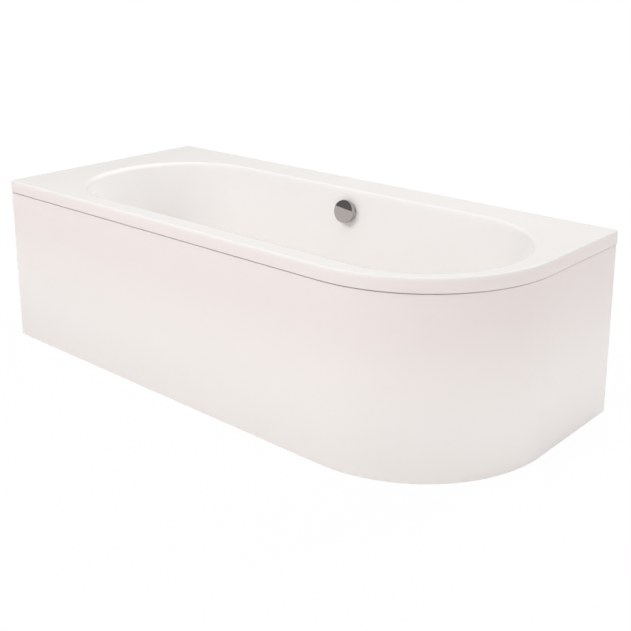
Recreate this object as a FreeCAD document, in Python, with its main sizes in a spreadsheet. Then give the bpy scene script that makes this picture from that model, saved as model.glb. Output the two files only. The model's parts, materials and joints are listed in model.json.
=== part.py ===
import FreeCAD, Part
import math
import os
import Sketcher

# Corner bathtub, 1700 x 750 x 520 mm, with a panel that wraps round the front,
# one large curved corner and the right end.  +X runs along the length to the
# right end, +Y to the back wall, +Z up.  The origin is on the floor, under the
# middle of the bath.  The left end and the back stand against walls.

doc = FreeCAD.newDocument("corner_bathtub")
Vector = FreeCAD.Vector

# ---------------------------------------------------------------- sizes, in mm and degrees

SIZES = [
    # the acrylic shell
    ("bath_length", 1700), ("bath_width", 750), ("bath_height", 520),
    ("corner_radius", 400), ("square_corner_radius", 8),
    ("skirt_height", 38), ("skirt_edge_radius", 2), ("shell_thickness", 5),
    ("rim_edge_radius", 6), ("lip_radius", 18),
    ("front_ledge", 66), ("back_ledge", 129), ("left_ledge", 136), ("right_ledge", 64),
    ("floor_clearance", 140), ("side_slope", 9), ("end_slope", 24),
    ("side_floor_radius", 95), ("end_floor_radius", 160),
    # the boards bonded to the shell
    ("board_overhang", 90), ("board_margin", 250), ("board_thickness", 15),
    ("board_corner_radius", 40), ("board_notch_width", 112),
    ("batten_width", 30), ("batten_thickness", 18), ("batten_gap", 3),
    ("front_batten_margin", 120), ("back_batten_margin", 100),
    ("left_batten_margin", 95), ("right_batten_margin", 110),
    # the steel cradle
    ("keeper_inset", 54), ("rail_margin", 85), ("rail_width", 40),
    ("rail_height", 25), ("rail_gauge", 2),
    ("centre_foot_offset", -200), ("bracket_length", 130), ("bracket_height", 40),
    ("screw_radius", 2), ("screw_length", 12), ("screw_head_radius", 4.5),
    ("screw_head_height", 2.5), ("screw_pitch", 92),
    # the adjustable feet
    ("foot_margin", 135), ("stud_radius", 5), ("stud_spare", 38),
    ("centre_stud_spare", 24), ("stud_seat", 8),
    ("pad_radius", 28), ("pad_rim_height", 6), ("pad_height", 20), ("pad_hub_radius", 11),
    ("nut_across_flats", 17), ("nut_thickness", 8), ("thread_clearance", 0.05),
    # the wall brackets
    ("bracket_width", 40), ("bracket_gauge", 3), ("bracket_drop", 44),
    ("bracket_gap", 1.5), ("wall_hole_radius", 3.5), ("wall_hole_height", 14),
    ("bracket_margin", 230),
    # the panel and what holds it
    ("panel_setback", 4), ("panel_thickness", 4), ("panel_gap", 2.5),
    ("panel_flange", 22), ("panel_edge_radius", 2), ("wall_gap", 2),
    ("clip_width", 30), ("clip_gauge", 1.5), ("clip_lip", 14), ("clip_clearance", 0.4),
    ("clip_margin", 80), ("clip_screw_inset", 20), ("panel_travel_room", 2.5),
    ("arm_width", 30), ("arm_gauge", 3), ("magnet_radius", 12), ("magnet_depth", 10),
    ("magnet_height", 70), ("keeper_radius", 14), ("keeper_thickness", 2),
    ("keeper_gap", 0.3),
    # the waste in the floor of the basin
    ("waste_hole_radius", 27), ("upper_seal_thickness", 1), ("lower_seal_thickness", 4),
    ("flange_radius", 38), ("flange_height", 4), ("dish_radius", 33), ("dish_depth", 3),
    ("neck_radius", 24), ("neck_bore", 22), ("neck_length", 32), ("guide_radius", 8),
    ("guide_height", 8), ("stem_radius", 4), ("sliding_clearance", 0.06),
    ("body_radius", 29), ("body_bore", 24.3), ("body_flange_radius", 39),
    ("body_height", 48), ("body_floor", 4), ("outlet_radius", 22), ("outlet_bore", 18),
    ("hub_radius", 7), ("lifter_length", 24), ("lifter_start", 8),
    ("plug_radius", 31), ("plug_height", 5), ("plug_seal_height", 2.2),
    ("plug_seal_bore", 24),
    # the overflow in the back wall
    ("overflow_drop", 66), ("overflow_hole_radius", 26), ("overflow_seal_thickness", 4),
    ("overflow_body_radius", 29), ("overflow_body_bore", 25), ("overflow_body_depth", 36),
    ("overflow_flange_radius", 35), ("faceplate_radius", 31), ("faceplate_height", 3),
    ("faceplate_neck_radius", 23), ("faceplate_bore", 20), ("faceplate_neck", 14),
    ("boss_radius", 7), ("spindle_radius", 4), ("spindle_length", 50),
    ("drum_radius", 15), ("drum_thickness", 8),
    ("knob_radius", 35), ("knob_depth", 16), ("knob_stand_off", 8), ("knob_wall", 3),
    ("knob_edge", 2.5), ("knob_bevel_depth", 5), ("knob_bevel_width", 25),
    # the hose, its nuts and the control cable
    ("socket_radius", 17), ("socket_bore", 12.5), ("socket_length", 22),
    ("hose_nut_radius", 22), ("hose_nut_length", 20),
    ("hose_valley_radius", 14), ("hose_crest_radius", 16), ("hose_bore", 12.3),
    ("hose_bend", 130), ("hose_rib_pitch", 9), ("hose_drop", 29),
    ("cable_radius", 3), ("cable_bow", 98),
    ("gland_radius", 6), ("gland_length", 12),
    # the trap
    ("trap_radius", 21), ("trap_bore", 18), ("trap_bend", 30), ("trap_clearance", 4),
    ("trap_straight", 1), ("trap_elbow_bend", 28), ("drain_above_trap", 63), ("drain_reach", 34),
    ("collar_radius", 24), ("collar_height", 3), ("washer_thickness", 3),
    ("union_nut_radius", 28), ("union_nut_height", 20), ("union_nut_lip", 3),
    ("union_nut_play", 1.9),
    ("drain_pipe_radius", 20), ("drain_clearance", 0.3), ("drain_seat", 28),
    ("socket_wall", 4), ("cleaning_neck_radius", 13), ("cleaning_neck_length", 28),
    ("cleaning_cap_radius", 17), ("cleaning_cap_depth", 10),
]

sheet = doc.addObject("Spreadsheet::Sheet", "Sizes")
for row, (alias, value) in enumerate(SIZES, start=1):
    sheet.set("A%d" % row, alias.replace("_", " "))
    sheet.set("B%d" % row, str(value))
    sheet.setAlias("B%d" % row, alias)
doc.recompute()


def size(alias):
    """The number in the sheet's cell of this name."""
    return float(sheet.get(alias))


# Places and heights that follow from the sizes.  They are worked out by the
# document, so every sub-part can be bound to them.
PLACES = [
    ("floor_top", "Sizes.floor_clearance"),
    ("basin_depth", "Sizes.bath_height - floor_top"),
    ("underside", "floor_top - Sizes.shell_thickness"),
    ("rim_underside", "Sizes.bath_height - Sizes.shell_thickness"),
    ("skirt_bottom", "Sizes.bath_height - Sizes.skirt_height"),
    ("wall_back", "Sizes.bath_width / 2"),
    ("wall_left", "-Sizes.bath_length / 2"),
    ("front", "-Sizes.bath_width / 2"),
    ("right_end", "Sizes.bath_length / 2"),
    ("basin_half_width",
     "(Sizes.bath_width - Sizes.front_ledge - Sizes.back_ledge) / 2"),
    ("basin_half_length",
     "(Sizes.bath_length - Sizes.left_ledge - Sizes.right_ledge) / 2"),
    ("basin_x", "(Sizes.left_ledge - Sizes.right_ledge) / 2"),
    ("basin_y", "(Sizes.front_ledge - Sizes.back_ledge) / 2"),
    ("board_bottom", "underside - Sizes.board_thickness"),
    ("curve_start", "right_end - Sizes.corner_radius"),
    ("rail_spacing", "2 * (curve_start - basin_x - Sizes.keeper_inset)"),
    ("rail_length", "Sizes.bath_width - 2 * Sizes.rail_margin"),
    ("feet_spacing", "Sizes.bath_width - 2 * Sizes.foot_margin"),
    ("board_length", "rail_spacing + 2 * Sizes.board_overhang"),
    ("board_width", "Sizes.bath_width - 2 * Sizes.board_margin"),
    ("front_batten_length",
     "Sizes.bath_length - Sizes.corner_radius - Sizes.front_batten_margin"),
    ("back_batten_length", "Sizes.bath_length - 2 * Sizes.back_batten_margin"),
    ("left_batten_length", "Sizes.bath_width - 2 * Sizes.left_batten_margin"),
    ("right_batten_length",
     "Sizes.bath_width - Sizes.corner_radius - Sizes.right_batten_margin"),
    ("bracket_spacing", "Sizes.bath_length - 2 * Sizes.bracket_margin"),
    ("clip_spacing", "(front_batten_length - 2 * Sizes.clip_margin) / 3"),
    ("rail_bottom", "board_bottom - Sizes.rail_height"),
    ("rail_web", "board_bottom - Sizes.rail_gauge"),
    ("bracket_web", "board_bottom - Sizes.bracket_height"),
    ("stud_length", "board_bottom + Sizes.stud_spare - Sizes.stud_seat"),
    ("centre_stud_length", "bracket_web + Sizes.centre_stud_spare - Sizes.stud_seat"),
    ("stud_bottom", "Sizes.stud_seat"),
    ("batten_bottom", "rim_underside - Sizes.batten_thickness"),
    ("panel_top", "skirt_bottom - Sizes.panel_gap"),
    ("flange_bottom", "panel_top - Sizes.panel_thickness"),
    ("panel_inside", "front + Sizes.panel_setback + Sizes.panel_thickness"),
    ("overflow_z", "Sizes.bath_height - Sizes.overflow_drop"),
    ("overflow_y", "basin_y + basin_half_width - Sizes.overflow_drop * tan(Sizes.side_slope)"),
    ("body_top", "underside - Sizes.lower_seal_thickness"),
    ("body_bottom", "body_top - Sizes.body_height"),
        ("hose_z", "body_top - Sizes.hose_drop"),
    ("hose_y", "overflow_y + (Sizes.shell_thickness + Sizes.overflow_seal_thickness"
               " + Sizes.overflow_body_depth / 2) * cos(Sizes.side_slope)"),
    ("hose_top", "overflow_z - Sizes.overflow_body_radius - Sizes.socket_length"),
    ("hose_end_y", "basin_y + Sizes.body_radius + Sizes.socket_length"),
    ("plug_bottom", "floor_top + Sizes.upper_seal_thickness + Sizes.flange_height"
                    " - Sizes.dish_depth + Sizes.plug_seal_height + Sizes.sliding_clearance"),
    ("lifter_bottom", "body_bottom + Sizes.body_floor + Sizes.lifter_start"),
    ("lifter_top", "lifter_bottom + Sizes.lifter_length"),
    ("hub_height", "Sizes.lifter_start + Sizes.lifter_length / 2"),
    ("gland_z", "body_bottom + Sizes.lifter_start"),
    ("trap_centre_z", "Sizes.trap_clearance + Sizes.trap_radius"),
    ("trap_top", "trap_centre_z + Sizes.trap_bend + Sizes.trap_straight"),
    ("outlet_bottom", "trap_top + Sizes.washer_thickness"),
    ("outlet_length", "body_bottom - outlet_bottom"),
    ("drain_height", "trap_centre_z + Sizes.drain_above_trap"),
    ("riser_x", "basin_x - 2 * Sizes.trap_bend"),
    ("drain_y", "basin_y + Sizes.trap_elbow_bend + Sizes.drain_reach"),
    ("magnet_face", "panel_inside + Sizes.keeper_thickness + Sizes.keeper_gap"),
    ("arm_face", "magnet_face + Sizes.magnet_depth"),
]

places = doc.addObject("App::VarSet", "Places")
for name, rule in PLACES:
    places.addProperty("App::PropertyFloat", name, "Places")
for name, rule in PLACES:
    places.setExpression(name, rule)
doc.recompute()


def place(name):
    """A worked-out place as a number."""
    return float(getattr(places, name))


# ---------------------------------------------------------------- ways to make a piece

finished = []


def keep(piece, label):
    """Names a finished sub-part, which gets a file of its own."""
    piece.Label = label
    finished.append(piece)
    return piece


def at(piece, x, y, z, turn=None):
    """Puts a piece at a place given by three rules, turned about its own origin."""
    if turn is not None:
        piece.Placement = FreeCAD.Placement(Vector(), turn)
    for axis, rule in zip("xyz", (x, y, z)):
        piece.setExpression("Placement.Base." + axis, rule)
    return piece


def block(name, length, width, height, x, y, z):
    """A box whose lowest corner is at x, y, z."""
    piece = doc.addObject("Part::Box", name)
    piece.setExpression("Length", length)
    piece.setExpression("Width", width)
    piece.setExpression("Height", height)
    return at(piece, x, y, z)


def rod(name, radius, length, x, y, z, turn=None):
    """A cylinder that starts at x, y, z and stands up unless it is turned."""
    piece = doc.addObject("Part::Cylinder", name)
    piece.setExpression("Radius", radius)
    piece.setExpression("Height", length)
    return at(piece, x, y, z, turn)


def cut(name, base, tool):
    piece = doc.addObject("Part::Cut", name)
    piece.Base = base
    piece.Tool = tool
    return piece


def fuse(name, pieces):
    piece = doc.addObject("Part::MultiFuse", name)
    piece.Shapes = pieces
    return piece


def group(name, pieces):
    """Like fasteners, kept as separate solids under one name."""
    piece = doc.addObject("Part::Compound", name)
    piece.Links = pieces
    return piece


def feature(name, shape):
    piece = doc.addObject("Part::Feature", name)
    piece.Shape = shape
    return piece


def outline_sketch(body, name, plane_role, corners):
    """A closed outline of straight sides.  Each corner is tied to the rules of its two
    distances, so it starts anywhere and the sketch moves it to its place."""
    sketch = body.newObject("Sketcher::SketchObject", name)
    plane = [f for f in body.Origin.OriginFeatures if f.Role == plane_role][0]
    sketch.AttachmentSupport = (plane, [""])
    sketch.MapMode = "FlatFace"
    count = len(corners)
    starts = [Vector(20 + 9 * math.cos(2 * math.pi * i / count),
                     9 * math.sin(2 * math.pi * i / count), 0) for i in range(count)]
    for i in range(count):
        sketch.addGeometry(Part.LineSegment(starts[i], starts[(i + 1) % count]), False)
    for i in range(count):
        sketch.addConstraint(Sketcher.Constraint("Coincident", i, 2, (i + 1) % count, 1))
    for i, corner in enumerate(corners):
        for kind, value, rule in zip(("DistanceX", "DistanceY"), starts[i], corner):
            number = sketch.addConstraint(Sketcher.Constraint(kind, -1, 1, i, 1, value))
            label = "%s%d" % (kind[-1], i)
            sketch.renameConstraint(number, label)
            sketch.setExpression("Constraints." + label, rule)
    return sketch


def turned(name, profile):
    """A piece turned on a lathe: its profile is radius and height, and it stands on Z."""
    body = doc.addObject("PartDesign::Body", name)
    sketch = outline_sketch(body, name + "_profile", "XZ_Plane", profile)
    revolution = body.newObject("PartDesign::Revolution", name + "_turned")
    revolution.Profile = sketch
    revolution.ReferenceAxis = (sketch, ["V_Axis"])
    revolution.Angle = 360
    sketch.Visibility = False
    return body


def bent_strip(name, profile, width):
    """A strip of sheet metal: its bent edge drawn in Y and Z, and drawn out along X."""
    body = doc.addObject("PartDesign::Body", name)
    sketch = outline_sketch(body, name + "_profile", "YZ_Plane", profile)
    pad = body.newObject("PartDesign::Pad", name + "_pad")
    pad.Profile = sketch
    pad.setExpression("Length", width)
    pad.Midplane = True
    return body


Z_AXIS = Vector(0, 0, 1)
TURN_ALONG_X = FreeCAD.Rotation(Vector(0, 1, 0), 90)
TURN_ALONG_Y = FreeCAD.Rotation(Vector(1, 0, 0), -90)
TURN_ALONG_MINUS_Y = FreeCAD.Rotation(Vector(1, 0, 0), 90)


# ---------------------------------------------------------------- outlines of the bath

def bath_outline(inset, level, small_radius):
    """The plan of the bath, drawn in by inset: three near-square corners and the large
    curve at the front right."""
    left, right = place("wall_left") + inset, place("right_end") - inset
    front, back = place("front") + inset, place("wall_back") - inset
    curve = size("corner_radius") - inset
    corners = [(left, front, small_radius, -1, -1), (right, front, curve, 1, -1),
               (right, back, small_radius, 1, 1), (left, back, small_radius, -1, 1)]
    edges, joints = [], []
    for x, y, radius, to_x, to_y in corners:
        centre = Vector(x - to_x * radius, y - to_y * radius, level)
        on_side = Vector(x, centre.y, level)
        on_long = Vector(centre.x, y, level)
        middle = centre + Vector(to_x, to_y, 0) * (radius / math.sqrt(2))
        ends = (on_side, on_long) if to_x * to_y > 0 else (on_long, on_side)
        edges.append(Part.Arc(ends[0], middle, ends[1]).toShape())
        joints.append(ends)
    straight = [Part.makeLine(joints[i][1], joints[(i + 1) % 4][0]) for i in range(4)]
    return Part.Wire(Part.__sortEdges__(edges + straight))


def slab(wire, height):
    return Part.Face(wire).extrude(Z_AXIS * height)


def wall_inset(height, slope, radius, offset):
    """How far the basin's wall stands in from the edge of the opening, at a height above
    the basin's floor: a sloping wall that meets the floor in an arc.  With an offset it
    is the outer side of the wall."""
    depth = place("basin_depth")
    angle = math.radians(slope)
    foot = depth * math.tan(angle) + radius / math.tan((math.pi / 2 + angle) / 2)
    reach = radius + offset
    below_centre = radius - height
    if below_centre > reach * math.sin(angle):
        return foot - math.sqrt(max(reach ** 2 - below_centre ** 2, 0))
    return (depth - height) * math.tan(angle) - offset / math.cos(angle)


def basin_section(height, offset):
    """A level slice of the basin: two straight sides and two half-round ends."""
    ends = wall_inset(height, size("end_slope"), size("end_floor_radius"), offset)
    sides = wall_inset(height, size("side_slope"), size("side_floor_radius"), offset)
    half_length = place("basin_half_length") - ends
    radius = place("basin_half_width") - sides
    x, y, z = place("basin_x"), place("basin_y"), place("floor_top") + height
    reach = half_length - radius
    front_left, front_right = Vector(x - reach, y - radius, z), Vector(x + reach, y - radius, z)
    back_left, back_right = Vector(x - reach, y + radius, z), Vector(x + reach, y + radius, z)
    return Part.Wire([
        Part.makeLine(front_left, front_right),
        Part.Arc(front_right, Vector(x + half_length, y, z), back_right).toShape(),
        Part.makeLine(back_right, back_left),
        Part.Arc(back_left, Vector(x - half_length, y, z), front_left).toShape()])


def basin_solid(offset, top):
    """The basin as a solid, up to a height above its floor: a bowl with rounded sides up
    to where both walls are straight, and straight walls above it."""
    radius = size("side_floor_radius") + offset
    ends = size("end_floor_radius")
    bowl_top = max(ends * (1 - math.sin(math.radians(size("end_slope")))),
                   size("side_floor_radius") * (1 - math.sin(math.radians(size("side_slope")))))
    turns = (0, 12, 25, 38, 51, 64, 74)
    levels = [radius * (1 - math.cos(math.radians(turn))) - offset for turn in turns]
    levels = [level for level in levels if level < bowl_top - 4] + [bowl_top]
    bowl = Part.makeLoft([basin_section(level, offset) for level in levels], True, False)
    walls = Part.makeLoft([basin_section(level, offset) for level in (bowl_top, top)],
                          True, True)
    return bowl.fuse(walls)


def edges_at(shape, level, inside_x, inside_y):
    """The edges of a shape that lie at a level, with both ends this near the basin's
    middle."""
    x, y = place("basin_x"), place("basin_y")
    chosen = []
    for edge in shape.Edges:
        box = edge.BoundBox
        if abs(box.ZMin - level) < 0.01 and abs(box.ZMax - level) < 0.01:
            if all(abs(end.X - x) < inside_x and abs(end.Y - y) < inside_y
                   for end in edge.Vertexes):
                chosen.append(edge)
    return chosen


# ---------------------------------------------------------------- the shell

def make_shell():
    """One moulded sheet: flat ledges, a skirt turned down all round and a double-ended
    basin with a rolled lip."""
    top, thickness = size("bath_height"), size("shell_thickness")
    skirt = size("skirt_height")
    corner = size("square_corner_radius")
    lip, depth = size("lip_radius"), place("basin_depth")
    reach_x = place("basin_half_length") + 2 * thickness
    reach_y = place("basin_half_width") + 2 * thickness

    rim = slab(bath_outline(0, top - skirt, corner), skirt)
    outer_edges = [e for e in rim.Edges if abs(e.BoundBox.ZMin - top) < 0.01]
    rim = rim.makeFillet(size("rim_edge_radius"), outer_edges)
    hollow = slab(bath_outline(thickness, top - skirt, corner - thickness), skirt - thickness)
    rim = rim.cut(hollow)
    bottom_edges = [e for e in rim.Edges if abs(e.BoundBox.ZMax - (top - skirt)) < 0.01]
    rim = rim.makeFillet(size("skirt_edge_radius"), bottom_edges)

    outside = basin_solid(thickness, depth)
    shell = rim.fuse(outside.common(slab(bath_outline(thickness, 0, corner), top)))
    shell = shell.removeSplitter()
    under = edges_at(shell, top - thickness, reach_x, reach_y)
    shell = shell.makeFillet(lip - thickness, under)
    shell = shell.cut(basin_solid(0, depth))
    lip_edges = edges_at(shell, top, reach_x, reach_y)
    shell = shell.makeFillet(lip, lip_edges)

    waste = Part.makeCylinder(size("waste_hole_radius"), 4 * thickness,
                              Vector(place("basin_x"), place("basin_y"),
                                     place("underside") - thickness))
    overflow = Part.makeCylinder(size("overflow_hole_radius"), 8 * thickness,
                                 overflow_point(-4 * thickness), overflow_normal())
    return shell.cut([waste, overflow])


def overflow_normal():
    """Square to the back wall of the basin, into the basin."""
    slope = math.radians(size("side_slope"))
    return Vector(0, -math.cos(slope), math.sin(slope))


def overflow_point(reach):
    """A point on the overflow's axis, this far into the basin from the wall."""
    start = Vector(place("basin_x"), place("overflow_y"), place("overflow_z"))
    return start + overflow_normal() * reach


keep(feature("bath_shell_shape", make_shell()), "bath_shell")


# ---------------------------------------------------------------- boards and battens

def make_base_board():
    """The board under the basin's floor, notched to the back for the waste and its hose."""
    board = block("board_blank", "Places.board_length", "Places.board_width",
                  "Sizes.board_thickness",
                  "Places.basin_x - Places.board_length / 2",
                  "Places.basin_y - Places.board_width / 2", "Places.board_bottom")
    doc.recompute()
    rounded = doc.addObject("Part::Fillet", "board_rounded")
    rounded.Base = board
    radius = size("board_corner_radius")
    upright = [i for i, edge in enumerate(board.Shape.Edges, start=1)
               if edge.BoundBox.ZLength > size("board_thickness") / 2]
    rounded.Edges = [(i, radius, radius) for i in upright]
    around = rod("board_waste_hole", "Sizes.board_notch_width / 2",
                 "3 * Sizes.board_thickness", "Places.basin_x", "Places.basin_y",
                 "Places.board_bottom - Sizes.board_thickness")
    notch = block("board_notch", "Sizes.board_notch_width", "Places.board_width",
                  "3 * Sizes.board_thickness",
                  "Places.basin_x - Sizes.board_notch_width / 2", "Places.basin_y",
                  "Places.board_bottom - Sizes.board_thickness")
    return cut("board_cut", rounded, fuse("board_opening", [around, notch]))


def make_battens():
    """Wooden battens bonded under the ledges, behind the skirt."""
    inset = "Sizes.shell_thickness + Sizes.batten_gap"
    height, level = "Sizes.batten_thickness", "Places.batten_bottom"
    return {
        "front_rim_batten": block(
            "front_batten", "Places.front_batten_length", "Sizes.batten_width", height,
            "Places.wall_left + 2 * (%s)" % inset, "Places.front + " + inset, level),
        "back_rim_batten": block(
            "back_batten", "Places.back_batten_length", "Sizes.batten_width", height,
            "-Places.back_batten_length / 2",
            "Places.wall_back - Sizes.batten_width - (%s)" % inset, level),
        "left_rim_batten": block(
            "left_batten", "Sizes.batten_width", "Places.left_batten_length", height,
            "Places.wall_left + " + inset, "-Places.left_batten_length / 2", level),
        "right_rim_batten": block(
            "right_batten", "Sizes.batten_width", "Places.right_batten_length", height,
            "Places.right_end - Sizes.batten_width - (%s)" % inset,
            "Places.wall_back - Places.right_batten_length - 3 * (%s)" % inset, level)}


base_board = make_base_board()
battens = make_battens()


# ---------------------------------------------------------------- the cradle and its feet

def channel(name, x):
    """A steel channel across the bath, open below, with a hole for a foot at each end."""
    outer = block(name + "_outer", "Sizes.rail_width", "Places.rail_length",
                  "Sizes.rail_height", "%s - Sizes.rail_width / 2" % x,
                  "Places.basin_y - Places.rail_length / 2", "Places.rail_bottom")
    inner = block(name + "_inner", "Sizes.rail_width - 2 * Sizes.rail_gauge",
                  "Places.rail_length", "Sizes.rail_height - Sizes.rail_gauge",
                  "%s - Sizes.rail_width / 2 + Sizes.rail_gauge" % x,
                  "Places.basin_y - Places.rail_length / 2", "Places.rail_bottom")
    holes = [rod("%s_hole_%s" % (name, end), "Sizes.stud_radius + 0.5",
                 "2 * Sizes.rail_height", x,
                 "Places.basin_y %s Places.feet_spacing / 2" % sign, "Places.rail_bottom")
             for end, sign in (("front", "-"), ("back", "+"))]
    return cut(name + "_cut", outer, fuse(name + "_space", [inner] + holes))


def centre_bracket():
    """A top-hat bracket under the board for the middle foot."""
    half, height = "Sizes.bracket_length / 2", "Sizes.bracket_height"
    crown = "Sizes.rail_width / 2"
    gauge = "Sizes.rail_gauge"
    profile = [
        ("-" + half, height), ("-%s" % crown, height),
        ("-%s" % crown, gauge), (crown, gauge), (crown, height), (half, height),
        (half, "%s - %s" % (height, gauge)), ("%s + %s" % (crown, gauge),
                                              "%s - %s" % (height, gauge)),
        ("%s + %s" % (crown, gauge), "0"), ("-%s - %s" % (crown, gauge), "0"),
        ("-%s - %s" % (crown, gauge), "%s - %s" % (height, gauge)),
        ("-" + half, "%s - %s" % (height, gauge))]
    # its wings stop short of the crown's inside, so the wings' top touches the board
    hat = at(bent_strip("bracket_hat", profile, "Sizes.rail_width"),
             "Places.basin_x + Sizes.centre_foot_offset", "Places.basin_y",
             "Places.bracket_web")
    hole = rod("bracket_hole", "Sizes.stud_radius + 0.5", "Sizes.bracket_height / 2",
               "Places.basin_x + Sizes.centre_foot_offset", "Places.basin_y",
               "Places.bracket_web - Sizes.rail_gauge")
    return cut("bracket_cut", hat, hole)


def hexagon_nut(name, x, y, z):
    """A hexagon nut with its bore a running fit on the stud."""
    prism = doc.addObject("Part::Prism", name + "_blank")
    prism.Polygon = 6
    prism.setExpression("Circumradius", "Sizes.nut_across_flats / sqrt(3)")
    prism.setExpression("Height", "Sizes.nut_thickness")
    at(prism, x, y, z)
    bore = rod(name + "_bore", "Sizes.stud_radius + Sizes.thread_clearance",
               "Sizes.nut_thickness", x, y, z)
    return cut(name, prism, bore)


def pan_screw(name, x, y, z, driven="up"):
    """A pan-head screw whose head bears on the face at z, driven up or down."""
    if driven == "up":
        shank_start = head_start = "%s - Sizes.screw_head_height" % z
    else:
        shank_start, head_start = "%s - Sizes.screw_length" % z, z
    shank = rod(name + "_shank", "Sizes.screw_radius",
                "Sizes.screw_length + Sizes.screw_head_height", x, y, shank_start)
    head = rod(name + "_head", "Sizes.screw_head_radius", "Sizes.screw_head_height", x, y,
               head_start)
    return fuse(name, [shank, head])


def drilled(name, base, screws):
    """A piece with the pilot holes of its screws."""
    return cut(name, base, group(name + "_pilots", screws))


def make_foot(label, x, y, length):
    """A levelling foot: a plastic pad on the floor and a steel stud seated in it."""
    pad = turned(label + "_pad_body", [
        ("0", "0"), ("Sizes.pad_radius", "0"), ("Sizes.pad_radius", "Sizes.pad_rim_height"),
        ("Sizes.pad_hub_radius", "Sizes.pad_rim_height * 1.6"),
        ("Sizes.pad_hub_radius", "Sizes.pad_height"), ("Sizes.stud_radius", "Sizes.pad_height"),
        ("Sizes.stud_radius", "Places.stud_bottom"), ("0", "Places.stud_bottom")])
    keep(at(pad, x, y, "0"), label + "_pad")
    keep(rod(label + "_rod", "Sizes.stud_radius", length, x, y, "Places.stud_bottom"),
         label + "_stud")


arm_screws = {}


def make_cradle():
    left = "Places.basin_x - Places.rail_spacing / 2"
    right = "Places.basin_x + Places.rail_spacing / 2"
    middle = "Places.basin_x + Sizes.centre_foot_offset"
    front = "Places.basin_y - Places.feet_spacing / 2"
    back = "Places.basin_y + Places.feet_spacing / 2"
    feet = [("front_left_foot", left, front), ("back_left_foot", left, back),
            ("front_right_foot", right, front), ("back_right_foot", right, back)]
    nuts, screws = [], []
    for label, x, y in feet:
        make_foot(label, x, y, "Places.stud_length")
        nuts.append(hexagon_nut(label + "_upper_nut", x, y, "Places.board_bottom"))
        nuts.append(hexagon_nut(label + "_lower_nut", x, y,
                                "Places.rail_web - Sizes.nut_thickness"))
    make_foot("centre_foot", middle, "Places.basin_y", "Places.centre_stud_length")
    nuts.append(hexagon_nut("centre_foot_upper_nut", middle, "Places.basin_y",
                            "Places.bracket_web + Sizes.rail_gauge"))
    nuts.append(hexagon_nut("centre_foot_lower_nut", middle, "Places.basin_y",
                            "Places.bracket_web - Sizes.nut_thickness"))
    keep(group("lock_nuts", nuts), "foot_lock_nuts")

    for side, x in (("left", left), ("right", right)):
        rail = channel(side + "_rail", x)
        driven = [pan_screw("%s_rail_screw_%d" % (side, i), x,
                            "Places.basin_y + (%g) * Sizes.screw_pitch" % step,
                            "Places.rail_web")
                  for i, step in enumerate((-1, 1))]
        screws += driven
        arm_screws[side] = pan_screw(
            side + "_arm_screw", x,
            "Places.basin_y - Places.rail_length / 2 + Sizes.nut_across_flats",
            "Places.board_bottom + Sizes.arm_gauge", driven="down")
        keep(drilled(side + "_rail_drilled", rail, driven + [arm_screws[side]]),
             side + "_cradle_rail")
    hat = centre_bracket()
    wing = "(Sizes.bracket_length / 2 + Sizes.rail_width / 2) / 2"
    driven = [pan_screw("bracket_screw_%s" % end, middle,
                        "Places.basin_y %s %s" % (sign, wing), "Places.rail_web")
              for end, sign in (("front", "-"), ("back", "+"))]
    screws += driven
    keep(drilled("bracket_drilled", hat, driven), "centre_foot_bracket")
    keep(group("cradle_screw_set", screws), "cradle_screws")
    keep(drilled("board_drilled", base_board, screws), "base_board")


make_cradle()


# ---------------------------------------------------------------- brackets to the walls

def wall_bracket(name):
    """A strip of steel screwed up under a batten, set back behind the skirt and stepped
    out below it to lie flat on the wall.  Its own Y runs towards the wall."""
    gauge = "Sizes.bracket_gauge"
    inner = "-(Sizes.shell_thickness + Sizes.batten_gap + Sizes.batten_width)"
    leg = "-(Sizes.shell_thickness + Sizes.bracket_gap)"
    step = "(Sizes.shell_thickness + Sizes.batten_thickness - Sizes.skirt_height" \
           " - Sizes.bracket_gap)"
    foot = step + " - Sizes.bracket_drop"
    profile = [(inner, "0"), (leg, "0"), (leg, step), ("0", step), ("0", foot),
               ("-" + gauge, foot), ("-" + gauge, "%s - %s" % (step, gauge)),
               ("%s - %s" % (leg, gauge), "%s - %s" % (step, gauge)),
               ("%s - %s" % (leg, gauge), "-" + gauge), (inner, "-" + gauge)]
    strip = bent_strip(name + "_strip", profile, "Sizes.bracket_width")
    hole = rod(name + "_wall_hole", "Sizes.wall_hole_radius", "4 * Sizes.bracket_gauge",
               "0", "-2 * Sizes.bracket_gauge", "%s + Sizes.wall_hole_height" % foot,
               TURN_ALONG_Y)
    return cut(name, strip, hole)


def make_wall_brackets():
    screw_inset = "(Sizes.shell_thickness + Sizes.batten_gap + Sizes.batten_width / 2)"
    places_on_wall = [
        ("back_left_wall_bracket", 0, "-Places.bracket_spacing / 2", "Places.wall_back",
         "-Places.bracket_spacing / 2", "Places.wall_back - " + screw_inset),
        ("back_right_wall_bracket", 0, "Places.bracket_spacing / 2", "Places.wall_back",
         "Places.bracket_spacing / 2", "Places.wall_back - " + screw_inset),
        ("left_wall_bracket", 90, "Places.wall_left", "0",
         "Places.wall_left + " + screw_inset, "0")]
    screws = []
    for label, turn, x, y, screw_x, screw_y in places_on_wall:
        bracket = at(wall_bracket(label + "_bent"), x, y, "Places.batten_bottom",
                     FreeCAD.Rotation(Z_AXIS, turn))
        screw = pan_screw(label + "_screw", screw_x, screw_y,
                          "Places.batten_bottom - Sizes.bracket_gauge")
        keep(drilled(label + "_drilled", bracket, [screw]), label)
        screws.append(screw)
    return screws


wall_screws = make_wall_brackets()


# ---------------------------------------------------------------- the panel and its fixings

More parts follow.
